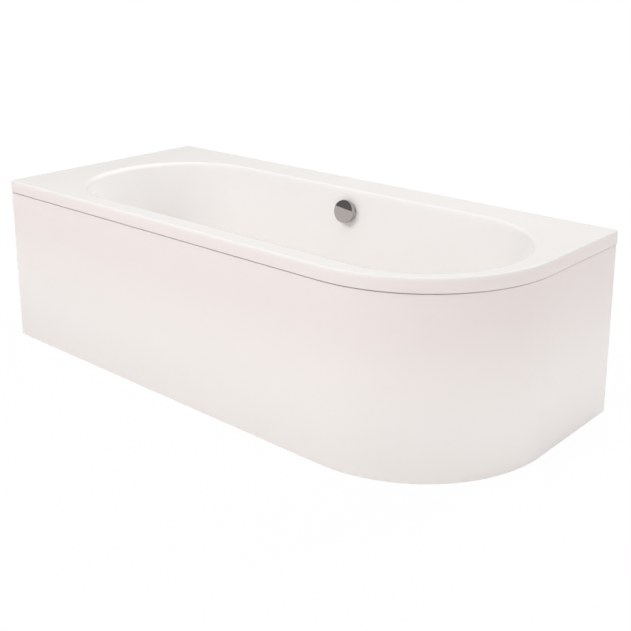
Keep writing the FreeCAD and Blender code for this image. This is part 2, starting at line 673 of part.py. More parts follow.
def panel_band(outer, inner, level, height):
    """A wall that follows the front, the large curve and the right end, between two
    insets from the bath's outline."""
    left = place("wall_left") + size("wall_gap")
    back = place("wall_back") - size("wall_gap")
    solids = []
    for inset in (outer, inner):
        right, front = place("right_end") - inset, place("front") + inset
        radius = size("corner_radius") - inset
        centre = Vector(right - radius, front + radius, level)
        slant = Vector(1, -1, 0) * (radius / math.sqrt(2))
        curve = Part.Arc(Vector(centre.x, front, level), centre + slant,
                         Vector(right, centre.y, level)).toShape()
        path = Part.makePolygon([Vector(right, centre.y, level), Vector(right, back, level),
                                 Vector(left, back, level), Vector(left, front, level),
                                 Vector(centre.x, front, level)])
        solids.append(slab(Part.Wire(Part.__sortEdges__([curve] + path.Edges)), height))
    return solids[0].cut(solids[1])


def make_panel():
    """One sheet of acrylic with a flange turned in along its top."""
    setback, thickness = size("panel_setback"), size("panel_thickness")
    top = place("panel_top")
    wall = panel_band(setback, setback + thickness, 0, top)
    flange = panel_band(setback, setback + size("panel_flange"), top - thickness, thickness)
    panel = wall.fuse(flange).removeSplitter()
    face = place("front") + setback
    chosen = []
    for edge in panel.Edges:
        box = edge.BoundBox
        on_top = abs(box.ZMin - top) < 0.01 and abs(box.ZMax - top) < 0.01
        on_face = abs(box.YMin - face) < 0.01
        on_end = abs(box.XMax - (place("right_end") - setback)) < 0.01
        if on_top and (on_face or on_end) and edge.Length > 100:
            chosen.append(edge)
    return panel.makeFillet(size("panel_edge_radius"), chosen)


def panel_clip(name):
    """A spring clip screwed under a batten.  Its lip runs under the panel's flange.  Its
    own Y runs inwards from the bath's outline."""
    gauge = "Sizes.clip_gauge"
    leg = "(Sizes.panel_setback + Sizes.panel_flange + Sizes.panel_travel_room)"
    start = "Sizes.clip_screw_inset - Sizes.screw_head_radius * 2"
    lip = "(Places.flange_bottom - Sizes.clip_clearance - Places.batten_bottom)"
    profile = [(start, "0"), ("%s + %s" % (leg, gauge), "0"),
               ("%s + %s" % (leg, gauge), "%s - %s" % (lip, gauge)),
               ("%s - Sizes.clip_lip" % leg, "%s - %s" % (lip, gauge)),
               ("%s - Sizes.clip_lip" % leg, lip), (leg, lip), (leg, "-" + gauge),
               (start, "-" + gauge)]
    return bent_strip(name, profile, "Sizes.clip_width")


def make_panel_fixings():
    """Clips along the rim, and two magnets on arms from the cradle near the floor."""
    clips, clip_screws = [], []
    front_x = "Places.wall_left + Places.front_batten_length / 2"
    under = "Places.batten_bottom - Sizes.clip_gauge"
    stations = []
    for i, step in enumerate((-1.5, -0.5, 0.5, 1.5), start=1):
        x = "%s + (%g) * Places.clip_spacing" % (front_x, step)
        stations.append(("front_clip_%d" % i, 0, x, "Places.front", x,
                         "Places.front + Sizes.clip_screw_inset"))
    side_y = "Places.wall_back - Places.right_batten_length / 2"
    stations.append(("right_clip", 90, "Places.right_end", side_y,
                     "Places.right_end - Sizes.clip_screw_inset", side_y))
    for name, turn, x, y, screw_x, screw_y in stations:
        clip = at(panel_clip(name + "_bent"), x, y, "Places.batten_bottom",
                  FreeCAD.Rotation(Z_AXIS, turn))
        screw = pan_screw(name + "_screw", screw_x, screw_y, under)
        clips.append(drilled(name, clip, [screw]))
        clip_screws.append(screw)
    keep(group("panel_clip_set", clips), "panel_clips")
    keep(group("rim_screw_set", wall_screws + clip_screws), "rim_screws")
    in_batten = {"front_rim_batten": clip_screws[:-1], "right_rim_batten": clip_screws[-1:],
                 "back_rim_batten": wall_screws[:2], "left_rim_batten": wall_screws[2:]}
    for label, driven in in_batten.items():
        keep(drilled(label + "_drilled", battens[label], driven), label)

    magnets, keepers = [], []
    reach = "Places.basin_y - Places.feet_spacing / 2 - Sizes.nut_across_flats" \
            " - Places.arm_face"
    gauge = "Sizes.arm_gauge"
    drop = "Sizes.magnet_height - Sizes.magnet_radius - Places.board_bottom"
    for side, sign in (("left", "-"), ("right", "+")):
        x = "Places.basin_x %s Places.rail_spacing / 2" % sign
        strip = bent_strip(side + "_arm_bent", [
            ("0", gauge), (reach, gauge), (reach, "0"), (gauge, "0"), (gauge, drop),
            ("0", drop)], "Sizes.arm_width")
        at(strip, x, "Places.arm_face", "Places.board_bottom")
        keep(drilled(side + "_arm_drilled", strip, [arm_screws[side]]),
             side + "_panel_arm")
        magnets.append(rod(side + "_magnet", "Sizes.magnet_radius", "Sizes.magnet_depth",
                           x, "Places.arm_face", "Sizes.magnet_height", TURN_ALONG_MINUS_Y))
        keepers.append(rod(side + "_keeper", "Sizes.keeper_radius",
                           "Sizes.keeper_thickness", x,
                           "Places.panel_inside + Sizes.keeper_thickness",
                           "Sizes.magnet_height", TURN_ALONG_MINUS_Y))
    keep(group("magnet_set", magnets), "panel_magnets")
    keep(group("keeper_set", keepers), "panel_keepers")
    keep(group("arm_screw_set", list(arm_screws.values())), "panel_arm_screws")


keep(feature("panel_shape", make_panel()), "bath_panel")
make_panel_fixings()


# ---------------------------------------------------------------- the pop-up waste

def on_waste(piece):
    """Stands a turned piece on the waste's axis, with its heights measured from the floor."""
    return at(piece, "Places.basin_x", "Places.basin_y", "0")


def ring(name, outer, inner, bottom, top):
    return turned(name, [(inner, bottom), (outer, bottom), (outer, top), (inner, top)])


def cross_bars(name, reach, width, bottom, height):
    """Two bars across a round opening on the waste's axis."""
    return [block(name + "_bar_x", "2 * " + reach, width, height,
                  "Places.basin_x - " + reach, "Places.basin_y - %s / 2" % width, bottom),
            block(name + "_bar_y", width, "2 * " + reach, height,
                  "Places.basin_x - %s / 2" % width, "Places.basin_y - " + reach, bottom)]


def make_waste():
    seat = "Places.floor_top + Sizes.upper_seal_thickness"
    top = seat + " + Sizes.flange_height"
    dish = top + " - Sizes.dish_depth"
    neck_end = seat + " - Sizes.neck_length"
    keep(on_waste(ring("upper_seal_ring", "Sizes.flange_radius - 1", "Sizes.body_bore",
                       "Places.floor_top", seat)), "waste_upper_seal")
    keep(on_waste(ring("lower_seal_ring", "Sizes.body_flange_radius",
                       "Sizes.waste_hole_radius", "Places.body_top", "Places.underside")),
         "waste_lower_seal")

    dished = on_waste(turned("flange_turned", [
        ("Sizes.neck_radius", neck_end), ("Sizes.neck_radius", seat),
        ("Sizes.flange_radius", seat), ("Sizes.flange_radius", seat + " + 1"),
        ("Sizes.dish_radius + 1.5", top), ("Sizes.dish_radius", top),
        ("Sizes.dish_radius - 1", dish), ("Sizes.neck_bore", dish),
        ("Sizes.neck_bore", neck_end)]))
    guide_bottom = seat + " - Sizes.guide_height"
    hub = rod("flange_hub", "Sizes.guide_radius", "Sizes.guide_height",
              "Places.basin_x", "Places.basin_y", guide_bottom)
    bars = cross_bars("flange", "(Sizes.neck_radius - 0.5)", "Sizes.dish_depth",
                      guide_bottom, "Sizes.guide_height / 2")
    bore = rod("flange_bore", "Sizes.stem_radius + Sizes.sliding_clearance",
               "3 * Sizes.guide_height", "Places.basin_x", "Places.basin_y",
               guide_bottom + " - Sizes.guide_height")
    keep(cut("flange_cut", fuse("flange_whole", [dished, hub] + bars), bore),
         "waste_flange")

    low, high = "Places.plug_bottom", "Places.plug_bottom + Sizes.plug_height"
    keep(on_waste(turned("plug_turned", [
        ("0", low), ("Sizes.plug_radius", low), ("Sizes.plug_radius", low + " + 1.4"),
        ("Sizes.plug_radius - 0.5", low + " + 2"), ("Sizes.plug_radius - 2", low + " + 2.8"),
        ("Sizes.plug_radius * 0.8", "%s - Sizes.plug_height * 0.22" % high),
        ("Sizes.plug_radius * 0.55", "%s - Sizes.plug_height * 0.08" % high),
        ("Sizes.plug_radius * 0.25", "%s - Sizes.plug_height * 0.01" % high),
        ("0", high)])), "waste_plug")
    keep(on_waste(ring("plug_seal_ring", "Sizes.plug_radius - 1", "Sizes.plug_seal_bore",
                       low + " - Sizes.plug_seal_height", low)), "plug_seal")
    stem_start = "Places.lifter_top + Sizes.keeper_gap"
    keep(rod("stem_rod", "Sizes.stem_radius", "%s - (%s)" % (low, stem_start),
             "Places.basin_x", "Places.basin_y", stem_start), "plug_stem")
    keep(rod("lifter_rod", "Sizes.stem_radius", "Sizes.lifter_length",
             "Places.basin_x", "Places.basin_y", "Places.lifter_bottom"), "plug_lifter")


def make_waste_body():
    """The plastic body under the basin: a chamber with a side socket for the overflow
    hose, an outlet below, and a hub that guides the lifter over the cable's end."""
    flange = "Places.body_top - Sizes.lower_seal_thickness"
    blank = on_waste(turned("body_blank", [
        ("0", "Places.outlet_bottom"), ("Sizes.outlet_radius", "Places.outlet_bottom"),
        ("Sizes.outlet_radius", "Places.body_bottom"),
        ("Sizes.body_radius", "Places.body_bottom"), ("Sizes.body_radius", flange),
        ("Sizes.body_flange_radius", flange),
        ("Sizes.body_flange_radius", "Places.body_top"), ("0", "Places.body_top")]))
    x, y = "Places.basin_x", "Places.basin_y"
    socket = rod("body_socket", "Sizes.socket_radius",
                 "Sizes.body_radius + Sizes.socket_length", x, y, "Places.hose_z",
                 TURN_ALONG_Y)
    gland = rod("body_gland", "Sizes.gland_radius", "Sizes.body_radius + Sizes.gland_length",
                x, y, "Places.gland_z", TURN_ALONG_X)
    chamber = rod("body_chamber", "Sizes.body_bore", "Sizes.body_height",
                  x, y, "Places.body_bottom + Sizes.body_floor")
    outlet = rod("body_outlet", "Sizes.outlet_bore", "2 * Places.outlet_length",
                 x, y, "Places.outlet_bottom - Places.outlet_length / 2")
    way = rod("body_way", "Sizes.socket_bore", "Sizes.body_radius + 2 * Sizes.socket_length",
              x, y, "Places.hose_z", TURN_ALONG_Y)
    hollow = cut("body_hollow", fuse("body_whole", [blank, socket, gland]),
                 fuse("body_space", [chamber, outlet, way]))
    chamber_floor = "Places.body_bottom"
    hub = rod("body_hub", "Sizes.hub_radius", "Places.hub_height + Sizes.body_floor",
              x, y, chamber_floor)
    arm = rod("body_hub_arm", "Sizes.gland_radius", "Sizes.body_radius - 1", x, y,
              "Places.gland_z", TURN_ALONG_X)
    bars = cross_bars("body", "(Sizes.body_radius - 1)", "Sizes.body_floor",
                      chamber_floor, "Sizes.body_floor * 2")
    lifter_way = rod("body_lifter_way", "Sizes.stem_radius + Sizes.sliding_clearance",
                     "Sizes.body_height", x, y, "Places.lifter_bottom")
    wire_rise = rod("body_wire_rise", "Sizes.cable_radius / 2", "2 * Sizes.lifter_start",
                    x, y, "Places.gland_z")
    wire_run = rod("body_wire_run", "Sizes.cable_radius / 2", "2 * Sizes.body_radius",
                   x, y, "Places.gland_z", TURN_ALONG_X)
    cable_seat = rod("body_cable_seat", "Sizes.cable_radius", "Sizes.body_radius",
                     x + " + Sizes.body_radius", y, "Places.gland_z", TURN_ALONG_X)
    keep(cut("body_cut", fuse("body_guided", [hollow, hub, arm] + bars),
             fuse("body_ways", [lifter_way, wire_rise, wire_run, cable_seat])),
         "waste_body")


# ---------------------------------------------------------------- the overflow

def on_overflow(piece):
    """Sets a piece square to the basin's back wall: its own Z points into the basin and
    its zero lies on the wall."""
    piece.Placement = FreeCAD.Placement(
        Vector(), FreeCAD.Rotation(Vector(1, 0, 0), 90 - size("side_slope")))
    piece.setExpression("Placement.Rotation.Angle", "90 - Sizes.side_slope")
    for axis, rule in zip("xyz", ("Places.basin_x", "Places.overflow_y",
                                  "Places.overflow_z")):
        piece.setExpression("Placement.Base." + axis, rule)
    return piece


def make_overflow():
    wall_side = "-Sizes.shell_thickness"
    face = wall_side + " - Sizes.overflow_seal_thickness"
    back = face + " - Sizes.overflow_body_depth"
    gauge = "Sizes.knob_wall"
    keep(on_overflow(ring("overflow_seal_ring", "Sizes.overflow_flange_radius",
                          "Sizes.overflow_hole_radius", face, wall_side)),
         "overflow_seal")

    barrel = on_overflow(turned("overflow_blank", [
        ("0", back), ("Sizes.overflow_body_radius", back),
        ("Sizes.overflow_body_radius", "%s - %s" % (face, gauge)),
        ("Sizes.overflow_flange_radius", "%s - %s" % (face, gauge)),
        ("Sizes.overflow_flange_radius", face), ("0", face)]))
    chamber = on_overflow(turned("overflow_chamber", [
        ("0", "%s + %s" % (back, gauge)),
        ("Sizes.overflow_body_bore", "%s + %s" % (back, gauge)),
        ("Sizes.overflow_body_bore", "%s - Sizes.faceplate_neck / 2" % face),
        ("Sizes.faceplate_neck_radius + Sizes.drain_clearance",
         "%s - Sizes.faceplate_neck / 2" % face),
        ("Sizes.faceplate_neck_radius + Sizes.drain_clearance", "0"), ("0", "0")]))
    down = FreeCAD.Rotation(Vector(1, 0, 0), 180)
    length = "Places.overflow_z - Places.hose_top"
    socket = rod("overflow_socket", "Sizes.socket_radius", length,
                 "Places.basin_x", "Places.hose_y", "Places.overflow_z", down)
    way = rod("overflow_way", "Sizes.socket_bore", "%s + Sizes.socket_length" % length,
              "Places.basin_x", "Places.hose_y", "Places.overflow_z", down)
    gland = rod("overflow_gland", "Sizes.gland_radius",
                "Sizes.overflow_body_radius + Sizes.gland_length",
                "Places.basin_x", "Places.hose_y", "Places.overflow_z", TURN_ALONG_X)
    wire = rod("overflow_wire_way", "Sizes.cable_radius / 2",
               "2 * Sizes.overflow_body_radius",
               "Places.basin_x", "Places.hose_y", "Places.overflow_z", TURN_ALONG_X)
    seat = rod("overflow_cable_seat", "Sizes.cable_radius", "Sizes.overflow_body_radius",
               "Places.basin_x + Sizes.overflow_body_radius", "Places.hose_y",
               "Places.overflow_z", TURN_ALONG_X)
    keep(cut("overflow_cut", fuse("overflow_whole", [barrel, socket, gland]),
             fuse("overflow_space", [chamber, way, wire, seat])), "overflow_body")

    plate = on_overflow(turned("faceplate_turned", [
        ("Sizes.faceplate_bore", "-Sizes.faceplate_neck"),
        ("Sizes.faceplate_neck_radius", "-Sizes.faceplate_neck"),
        ("Sizes.faceplate_neck_radius", "0"), ("Sizes.faceplate_radius", "0"),
        ("Sizes.faceplate_radius", "1"),
        ("Sizes.faceplate_radius - 2", "Sizes.faceplate_height"),
        ("Sizes.faceplate_bore", "Sizes.faceplate_height")]))
    boss = on_overflow(ring("faceplate_boss", "Sizes.boss_radius",
                            "Sizes.spindle_radius + Sizes.sliding_clearance",
                            "-Sizes.faceplate_neck / 2", "Sizes.faceplate_height"))
    bars = []
    for i, turn in enumerate((0, 60, 120)):
        bar = doc.addObject("Part::Box", "faceplate_bar_%d" % i)
        bar.setExpression("Length", "2 * Sizes.faceplate_bore + 2")
        bar.setExpression("Width", "Sizes.faceplate_height")
        bar.setExpression("Height", "Sizes.faceplate_height")
        centred = FreeCAD.Rotation(Z_AXIS, turn)
        bar.Placement = FreeCAD.Placement(
            centred.multVec(Vector(-size("faceplate_bore") - 1,
                                   -size("faceplate_height") / 2, 0)), centred)
        bars.append(bar)
    star = on_overflow(fuse("faceplate_star", bars))
    bore = on_overflow(turned("faceplate_boss_bore", [
        ("0", "-Sizes.faceplate_neck"),
        ("Sizes.spindle_radius + Sizes.sliding_clearance", "-Sizes.faceplate_neck"),
        ("Sizes.spindle_radius + Sizes.sliding_clearance", "2 * Sizes.faceplate_height"),
        ("0", "2 * Sizes.faceplate_height")]))
    keep(cut("faceplate_cut", fuse("faceplate_whole", [plate, boss, star]), bore),
         "overflow_faceplate")

    knob_back = "Sizes.knob_stand_off"
    knob_front = "Sizes.knob_stand_off + Sizes.knob_depth"
    spindle_top = "%s - 2 * Sizes.knob_wall" % knob_front
    spindle_bottom = "%s - Sizes.spindle_length" % spindle_top
    keep(on_overflow(turned("spindle_turned", [
        ("0", spindle_bottom), ("Sizes.spindle_radius", spindle_bottom),
        ("Sizes.spindle_radius", spindle_top), ("0", spindle_top)])), "knob_spindle")
    groove = "Sizes.drum_thickness / 4"
    drum_top = "%s + Sizes.drum_thickness" % spindle_bottom
    keep(on_overflow(turned("drum_turned", [
        ("Sizes.spindle_radius", spindle_bottom), ("Sizes.drum_radius", spindle_bottom),
        ("Sizes.drum_radius", "%s + %s" % (spindle_bottom, groove)),
        ("Sizes.drum_radius - Sizes.cable_radius", "%s + 2 * %s" % (spindle_bottom, groove)),
        ("Sizes.drum_radius", "%s + 3 * %s" % (spindle_bottom, groove)),
        ("Sizes.drum_radius", drum_top), ("Sizes.spindle_radius", drum_top)])),
        "cable_drum")

    inside = "Sizes.knob_radius - Sizes.knob_wall"
    cup = on_overflow(turned("knob_turned", [
        ("Sizes.spindle_radius", knob_back), ("Sizes.boss_radius + 1", knob_back),
        ("Sizes.boss_radius + 1", "%s - %s" % (knob_front, gauge)),
        (inside, "%s - 2.6 * %s" % (knob_front, gauge)), (inside, knob_back),
        ("Sizes.knob_radius", knob_back),
        ("Sizes.knob_radius", "%s - Sizes.knob_edge" % knob_front),
        ("Sizes.knob_radius - Sizes.knob_edge * 0.3",
         "%s - Sizes.knob_edge * 0.3" % knob_front),
        ("Sizes.knob_radius - Sizes.knob_edge", knob_front), ("0", knob_front),
        ("0", spindle_top), ("Sizes.spindle_radius", spindle_top)]))
    # the upper part of the face falls back, from a level edge to the rim, as a grip
    fall = math.degrees(math.atan2(size("knob_bevel_depth"), size("knob_bevel_width")))
    grip = doc.addObject("Part::Box", "knob_bevel_cut")
    grip.setExpression("Length", "3 * Sizes.knob_radius")
    grip.setExpression("Width", "2 * Sizes.knob_bevel_width")
    grip.setExpression("Height", "Sizes.knob_depth")
    grip.Placement = FreeCAD.Placement(Vector(), FreeCAD.Rotation(Vector(1, 0, 0), -fall))
    at(grip, "-1.5 * Sizes.knob_radius", "Sizes.knob_radius - Sizes.knob_bevel_width",
       knob_front)
    keep(cut("knob_cut", cup, on_overflow(group("knob_bevel_tool", [grip]))),
         "overflow_knob")


make_waste()
make_waste_body()
make_overflow()


# ---------------------------------------------------------------- hose, cable and trap

def rounded_path(points, radii):
    """Straight runs joined by tangent arcs, one radius for each inner point.  Returns the
    wire, and its stations as functions of the distance along it."""
    edges, start = [], points[0]
    for i, radius in enumerate(radii, start=1):
        corner = points[i]
        arriving = (corner - points[i - 1]).normalize()
        leaving = (points[i + 1] - corner).normalize()
        half_turn = arriving.getAngle(leaving) / 2
        trim = radius * math.tan(half_turn)
        arc_start, arc_end = corner - arriving * trim, corner + leaving * trim
        inward = (leaving - arriving).normalize()
        middle = corner + inward * (radius / math.cos(half_turn) - radius)
        if (arc_start - start).Length > 0.001:
            edges.append(Part.makeLine(start, arc_start))
        edges.append(Part.Arc(arc_start, middle, arc_end).toShape())
        start = arc_end
    edges.append(Part.makeLine(start, points[-1]))
    return Part.Wire(edges)


def tube(path, radius):
    """A round bar along a path of straight runs and arcs: a cylinder on each run and a
    turned length on each arc."""
    lengths = []
    for edge in path.OrderedEdges:
        first, last = edge.FirstParameter, edge.LastParameter
        start, direction = edge.valueAt(first), edge.tangentAt(first)
        if hasattr(edge.Curve, "Radius"):
            disc = Part.Face(Part.Wire(Part.makeCircle(radius, start, direction)))
            angle = math.degrees(edge.Length / edge.Curve.Radius)
            inward = edge.Curve.Center - start
            axis = direction.cross(inward)
            lengths.append(disc.revolve(edge.Curve.Center, axis, angle))
        else:
            lengths.append(Part.makeCylinder(radius, edge.Length, start, direction))
    return lengths[0].fuse(lengths[1:]).removeSplitter()


def make_hose():
    """The ribbed overflow hose: straight down behind the basin, one wide bend, and in
    under the basin to the waste.  It stays in the plane of one X."""
    x = place("basin_x")
    top, bottom = place("hose_top"), place("hose_z")
    back, end = place("hose_y"), place("hose_end_y")
    bend, pitch = size("hose_bend"), size("hose_rib_pitch")
    crest, valley = size("hose_crest_radius"), size("hose_valley_radius")
    drop = top - bottom - bend
    quarter = math.pi * bend / 2
    level_run = back - bend - end
    length = drop + quarter + level_run

    def ring_at(distance, radius):
        """A circle round the hose, this far along it, its start always towards +X."""
        if distance < drop:
            centre, angle = Vector(x, back, top - distance), 0
        elif distance < drop + quarter:
            angle = (distance - drop) / bend
            centre = Vector(x, back - bend + bend * math.cos(angle),
                            bottom + bend - bend * math.sin(angle))
        else:
            angle = math.pi / 2
            centre = Vector(x, back - bend - (distance - drop - quarter), bottom)
        along = Vector(0, -math.sin(angle), -math.cos(angle))
        circle = Part.Circle(centre, along, radius)
        circle.XAxis = Vector(1, 0, 0)
        return Part.Wire(circle.toShape())

    cuff = 2 * crest
    ribs = int((length - 2 * cuff) // pitch)
    first = (length - ribs * pitch) / 2
    rings = [ring_at(0, crest), ring_at(first - pitch / 2, crest)]
    for i in range(ribs):
        start = first + i * pitch
        rings += [ring_at(start, valley), ring_at(start + pitch * 0.25, valley),
                  ring_at(start + pitch * 0.45, crest), ring_at(start + pitch * 0.8, crest)]
    rings += [ring_at(length - first + pitch / 2, crest), ring_at(length, crest)]
    outside = Part.makeLoft(rings, True, True)
    lead = bend * (1 - math.tan(math.pi / 8))
    path = rounded_path([Vector(x, back, top), Vector(x, back, bottom + lead),
                         Vector(x, back - lead, bottom), Vector(x, end, bottom)],
                        [bend - 0.01, bend - 0.01])
    bore = tube(path, size("hose_bore"))
    print("hose length %.0f mm, %d ribs, bend radius %.0f mm" % (length, ribs, bend))
    return outside.cut(bore)


# The cable's route from the overflow's gland to the gland of the waste, as shares of how
# far it bows out to the side, of the way from back to front and of the way down.
CABLE_ROUTE = [(0, 0, 0), (0.48, 0, 0), (0.87, 0, 0.1), (1, 0.003, 0.28),
               (0.99, 0.01, 0.48), (0.95, 0.037, 0.667), (0.9, 0.14, 0.82),
               (0.87, 0.313, 0.925), (0.85, 0.517, 0.987), (0.83, 0.728, 1),
               (0.745, 0.915, 1.003), (0.44, 1, 1), (0, 1, 1)]


def make_cable():
    """The control cable in its stiff sleeve: out of the drum's gland, down behind the
    basin in one slack sweep, under it and back into the gland of the waste.  Each arc is
    as large as the shorter of its two runs allows."""
    x, z = place("basin_x") + size("overflow_body_radius"), place("overflow_z")
    back, side = place("hose_y"), size("cable_bow")
    forward, down = back - place("basin_y"), z - place("gland_z")
    route = [Vector(x + out * side, back - along * forward, z - fall * down)
             for out, along, fall in CABLE_ROUTE]
    radii = []
    for before, corner, after in zip(route, route[1:], route[2:]):
        shorter = min((corner - before).Length, (after - corner).Length)
        turn = (corner - before).getAngle(after - corner)
        radii.append(0.45 * shorter / math.tan(turn / 2))
    path = rounded_path(route, radii)
    print("cable length %.0f mm, bend radii %s mm" % (path.Length,
                                                    [round(r) for r in radii]))
    return tube(path, size("cable_radius"))


def hose_nut(name):
    """A nut that holds the hose's cuff against a socket."""
    lip = "Sizes.hose_nut_length - 0.35 * Sizes.hose_nut_length"
    return turned(name, [
        ("Sizes.socket_radius", "0"), ("Sizes.hose_nut_radius - 1", "0"),
        ("Sizes.hose_nut_radius", "1"),
        ("Sizes.hose_nut_radius", "Sizes.hose_nut_length - 2"),
        ("Sizes.hose_nut_radius - 2", "Sizes.hose_nut_length"),
        ("Sizes.hose_crest_radius", "Sizes.hose_nut_length"),
        ("Sizes.hose_crest_radius", lip), ("Sizes.socket_radius", lip)])


def make_trap():
    """A running trap in one moulded tube: down, round and up, then out to the back."""
    x, y, riser = place("basin_x"), place("basin_y"), place("riser_x")
    top, bottom = place("trap_top"), place("trap_centre_z")
    drain_z, drain_y = place("drain_height"), place("drain_y")
    bend, elbow = size("trap_bend"), size("trap_elbow_bend")
    points = [Vector(x, y, top), Vector(x, y, bottom), Vector(riser, y, bottom),
              Vector(riser, y, drain_z), Vector(riser, drain_y, drain_z)]
    path = rounded_path(points, [bend - 0.01, bend - 0.01, elbow])
    outside = tube(path, size("trap_radius"))
    collar = Part.makeCylinder(size("collar_radius"), size("collar_height"),
                               Vector(x, y, top - size("collar_height")))
    seat = size("drain_seat")
    pipe = size("drain_pipe_radius") + size("drain_clearance")
    toward_back = Vector(0, 1, 0)
    socket = Part.makeCylinder(pipe + size("socket_wall"), seat,
                               Vector(riser, drain_y, drain_z), toward_back)
    neck_start = Vector(x - bend, y, bottom)
    neck = Part.makeCylinder(size("cleaning_neck_radius"), size("cleaning_neck_length"),
                             neck_start, Vector(0, -1, 0))
    solid = outside.fuse([collar, socket, neck])
    water = tube(path, size("trap_bore"))
    recess = Part.makeCylinder(pipe, seat, Vector(riser, drain_y, drain_z), toward_back)
    access = Part.makeCylinder(size("cleaning_neck_radius") - size("trap_clearance") / 2,
                               size("cleaning_neck_length"), neck_start, Vector(0, -1, 0))
    return solid.cut([water, recess, access])


def make_trap_fittings():
    x, y = "Places.basin_x", "Places.basin_y"
    keep(on_waste(ring("inlet_washer_ring", "Sizes.outlet_radius", "Sizes.outlet_bore",
                       "Places.trap_top", "Places.outlet_bottom")), "trap_inlet_washer")
    low = "Places.trap_top - Sizes.collar_height - Sizes.union_nut_lip"
    high = low + " + Sizes.union_nut_height"
    throat = "Sizes.trap_radius + Sizes.union_nut_play"
    keep(on_waste(turned("inlet_nut_turned", [
        (throat, low), ("Sizes.union_nut_radius - 2", low),
        ("Sizes.union_nut_radius", low + " + 2"), ("Sizes.union_nut_radius", high),
        ("Sizes.collar_radius", high),
        ("Sizes.collar_radius", low + " + Sizes.union_nut_lip"),
        (throat, low + " + Sizes.union_nut_lip")])), "trap_inlet_nut")

    pipe = "Sizes.drain_pipe_radius + Sizes.drain_clearance"
    wall = "(%s + Sizes.socket_wall)" % pipe
    end = "Places.drain_y + Sizes.drain_seat"
    washer = ring("outlet_washer_ring", wall, pipe, "0", "Sizes.washer_thickness")
    keep(at(washer, "Places.riser_x", end, "Places.drain_height", TURN_ALONG_Y),
         "trap_outlet_washer")
    nut_start = "%s - Sizes.union_nut_height + Sizes.union_nut_lip" \
                " + Sizes.washer_thickness" % end
    length, lip = "Sizes.union_nut_height", "Sizes.union_nut_lip"
    nut = turned("outlet_nut_turned", [
        (wall, "0"), ("Sizes.union_nut_radius", "0"),
        ("Sizes.union_nut_radius", length + " - 2"), ("Sizes.union_nut_radius - 2", length),
        (pipe, length), (pipe, "%s - %s" % (length, lip)),
        (wall, "%s - %s" % (length, lip))])
    keep(at(nut, "Places.riser_x", nut_start, "Places.drain_height", TURN_ALONG_Y),
         "trap_outlet_nut")
    cap = turned("cleaning_cap_turned", [
        ("0", "0"), ("Sizes.cleaning_cap_radius - 1.5", "0"),
        ("Sizes.cleaning_cap_radius", "1.5"),
        ("Sizes.cleaning_cap_radius", "Sizes.cleaning_cap_depth"),
        ("Sizes.cleaning_neck_radius", "Sizes.cleaning_cap_depth"),
        ("Sizes.cleaning_neck_radius", "Sizes.socket_wall"), ("0", "Sizes.socket_wall")])
    keep(at(cap, "Places.basin_x - Sizes.trap_bend",
            "Places.basin_y - Sizes.cleaning_neck_length - Sizes.socket_wall",
            "Places.trap_centre_z", TURN_ALONG_Y), "trap_cleaning_cap")


keep(feature("hose_shape", make_hose()), "overflow_hose")
keep(feature("cable_shape", make_cable()), "control_cable")
keep(feature("trap_shape", make_trap()), "trap_body")
make_trap_fittings()
keep(at(hose_nut("upper_nut_turned"), "Places.basin_x", "Places.hose_y",
        "Places.hose_top + 0.65 * Sizes.hose_nut_length",
        FreeCAD.Rotation(Vector(1, 0, 0), 180)), "hose_upper_nut")
keep(at(hose_nut("lower_nut_turned"), "Places.basin_x",
        "Places.hose_end_y - 0.65 * Sizes.hose_nut_length", "Places.hose_z",
        TURN_ALONG_Y), "hose_lower_nut")


# ---------------------------------------------------------------- check and write

doc.recompute()
for piece in doc.Objects:
    faults = [state for state in piece.State if state in ("Invalid", "Error")]
    if faults:
        raise RuntimeError("%s: %s" % (piece.Name, faults))
for piece in finished:
    if piece.Shape.isNull() or not piece.Shape.isValid() or not piece.Shape.Solids:
        raise RuntimeError("%s has no sound solid" % piece.Label)

os.makedirs("parts", exist_ok=True)
for piece in finished:
    piece.Shape.exportStep("parts/%s.step" % piece.Label)
    print("%-26s %2d solids %10.0f mm3" % (piece.Label, len(piece.Shape.Solids),
                                           piece.Shape.Volume))
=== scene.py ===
import json
import math

import bmesh
import bpy
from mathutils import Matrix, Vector


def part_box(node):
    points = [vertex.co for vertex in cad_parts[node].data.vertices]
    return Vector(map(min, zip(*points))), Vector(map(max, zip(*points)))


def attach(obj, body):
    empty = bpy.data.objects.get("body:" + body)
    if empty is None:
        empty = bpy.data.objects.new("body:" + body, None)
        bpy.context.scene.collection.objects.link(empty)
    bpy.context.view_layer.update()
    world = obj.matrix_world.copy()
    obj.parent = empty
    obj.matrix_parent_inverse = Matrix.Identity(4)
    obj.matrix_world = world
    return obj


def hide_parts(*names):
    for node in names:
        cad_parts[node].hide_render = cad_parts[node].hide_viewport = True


bl_info = {
    "name": "Corner Bathtub",
    "version": (1, 0, 0),
    "blender": (4, 5, 0),
    "location": "3D View > Sidebar > Bathtub",
    "description": "Dresses the corner bathtub: shell, panel, waste, overflow, trap and feet",
    "category": "Object",
}

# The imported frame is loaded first, so the sizes below can come from it.
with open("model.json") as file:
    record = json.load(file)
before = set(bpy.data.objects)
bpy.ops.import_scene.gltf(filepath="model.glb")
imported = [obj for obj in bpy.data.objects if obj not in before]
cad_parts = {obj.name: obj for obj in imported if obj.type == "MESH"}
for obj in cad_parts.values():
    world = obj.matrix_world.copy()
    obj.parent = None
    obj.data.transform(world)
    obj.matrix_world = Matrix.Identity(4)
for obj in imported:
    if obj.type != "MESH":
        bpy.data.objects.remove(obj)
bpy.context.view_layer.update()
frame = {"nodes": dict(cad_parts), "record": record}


# ---- sizes and colours

def number(name, default, description, **limits):
    return bpy.props.FloatProperty(name=name, default=default, description=description,
                                   **limits)


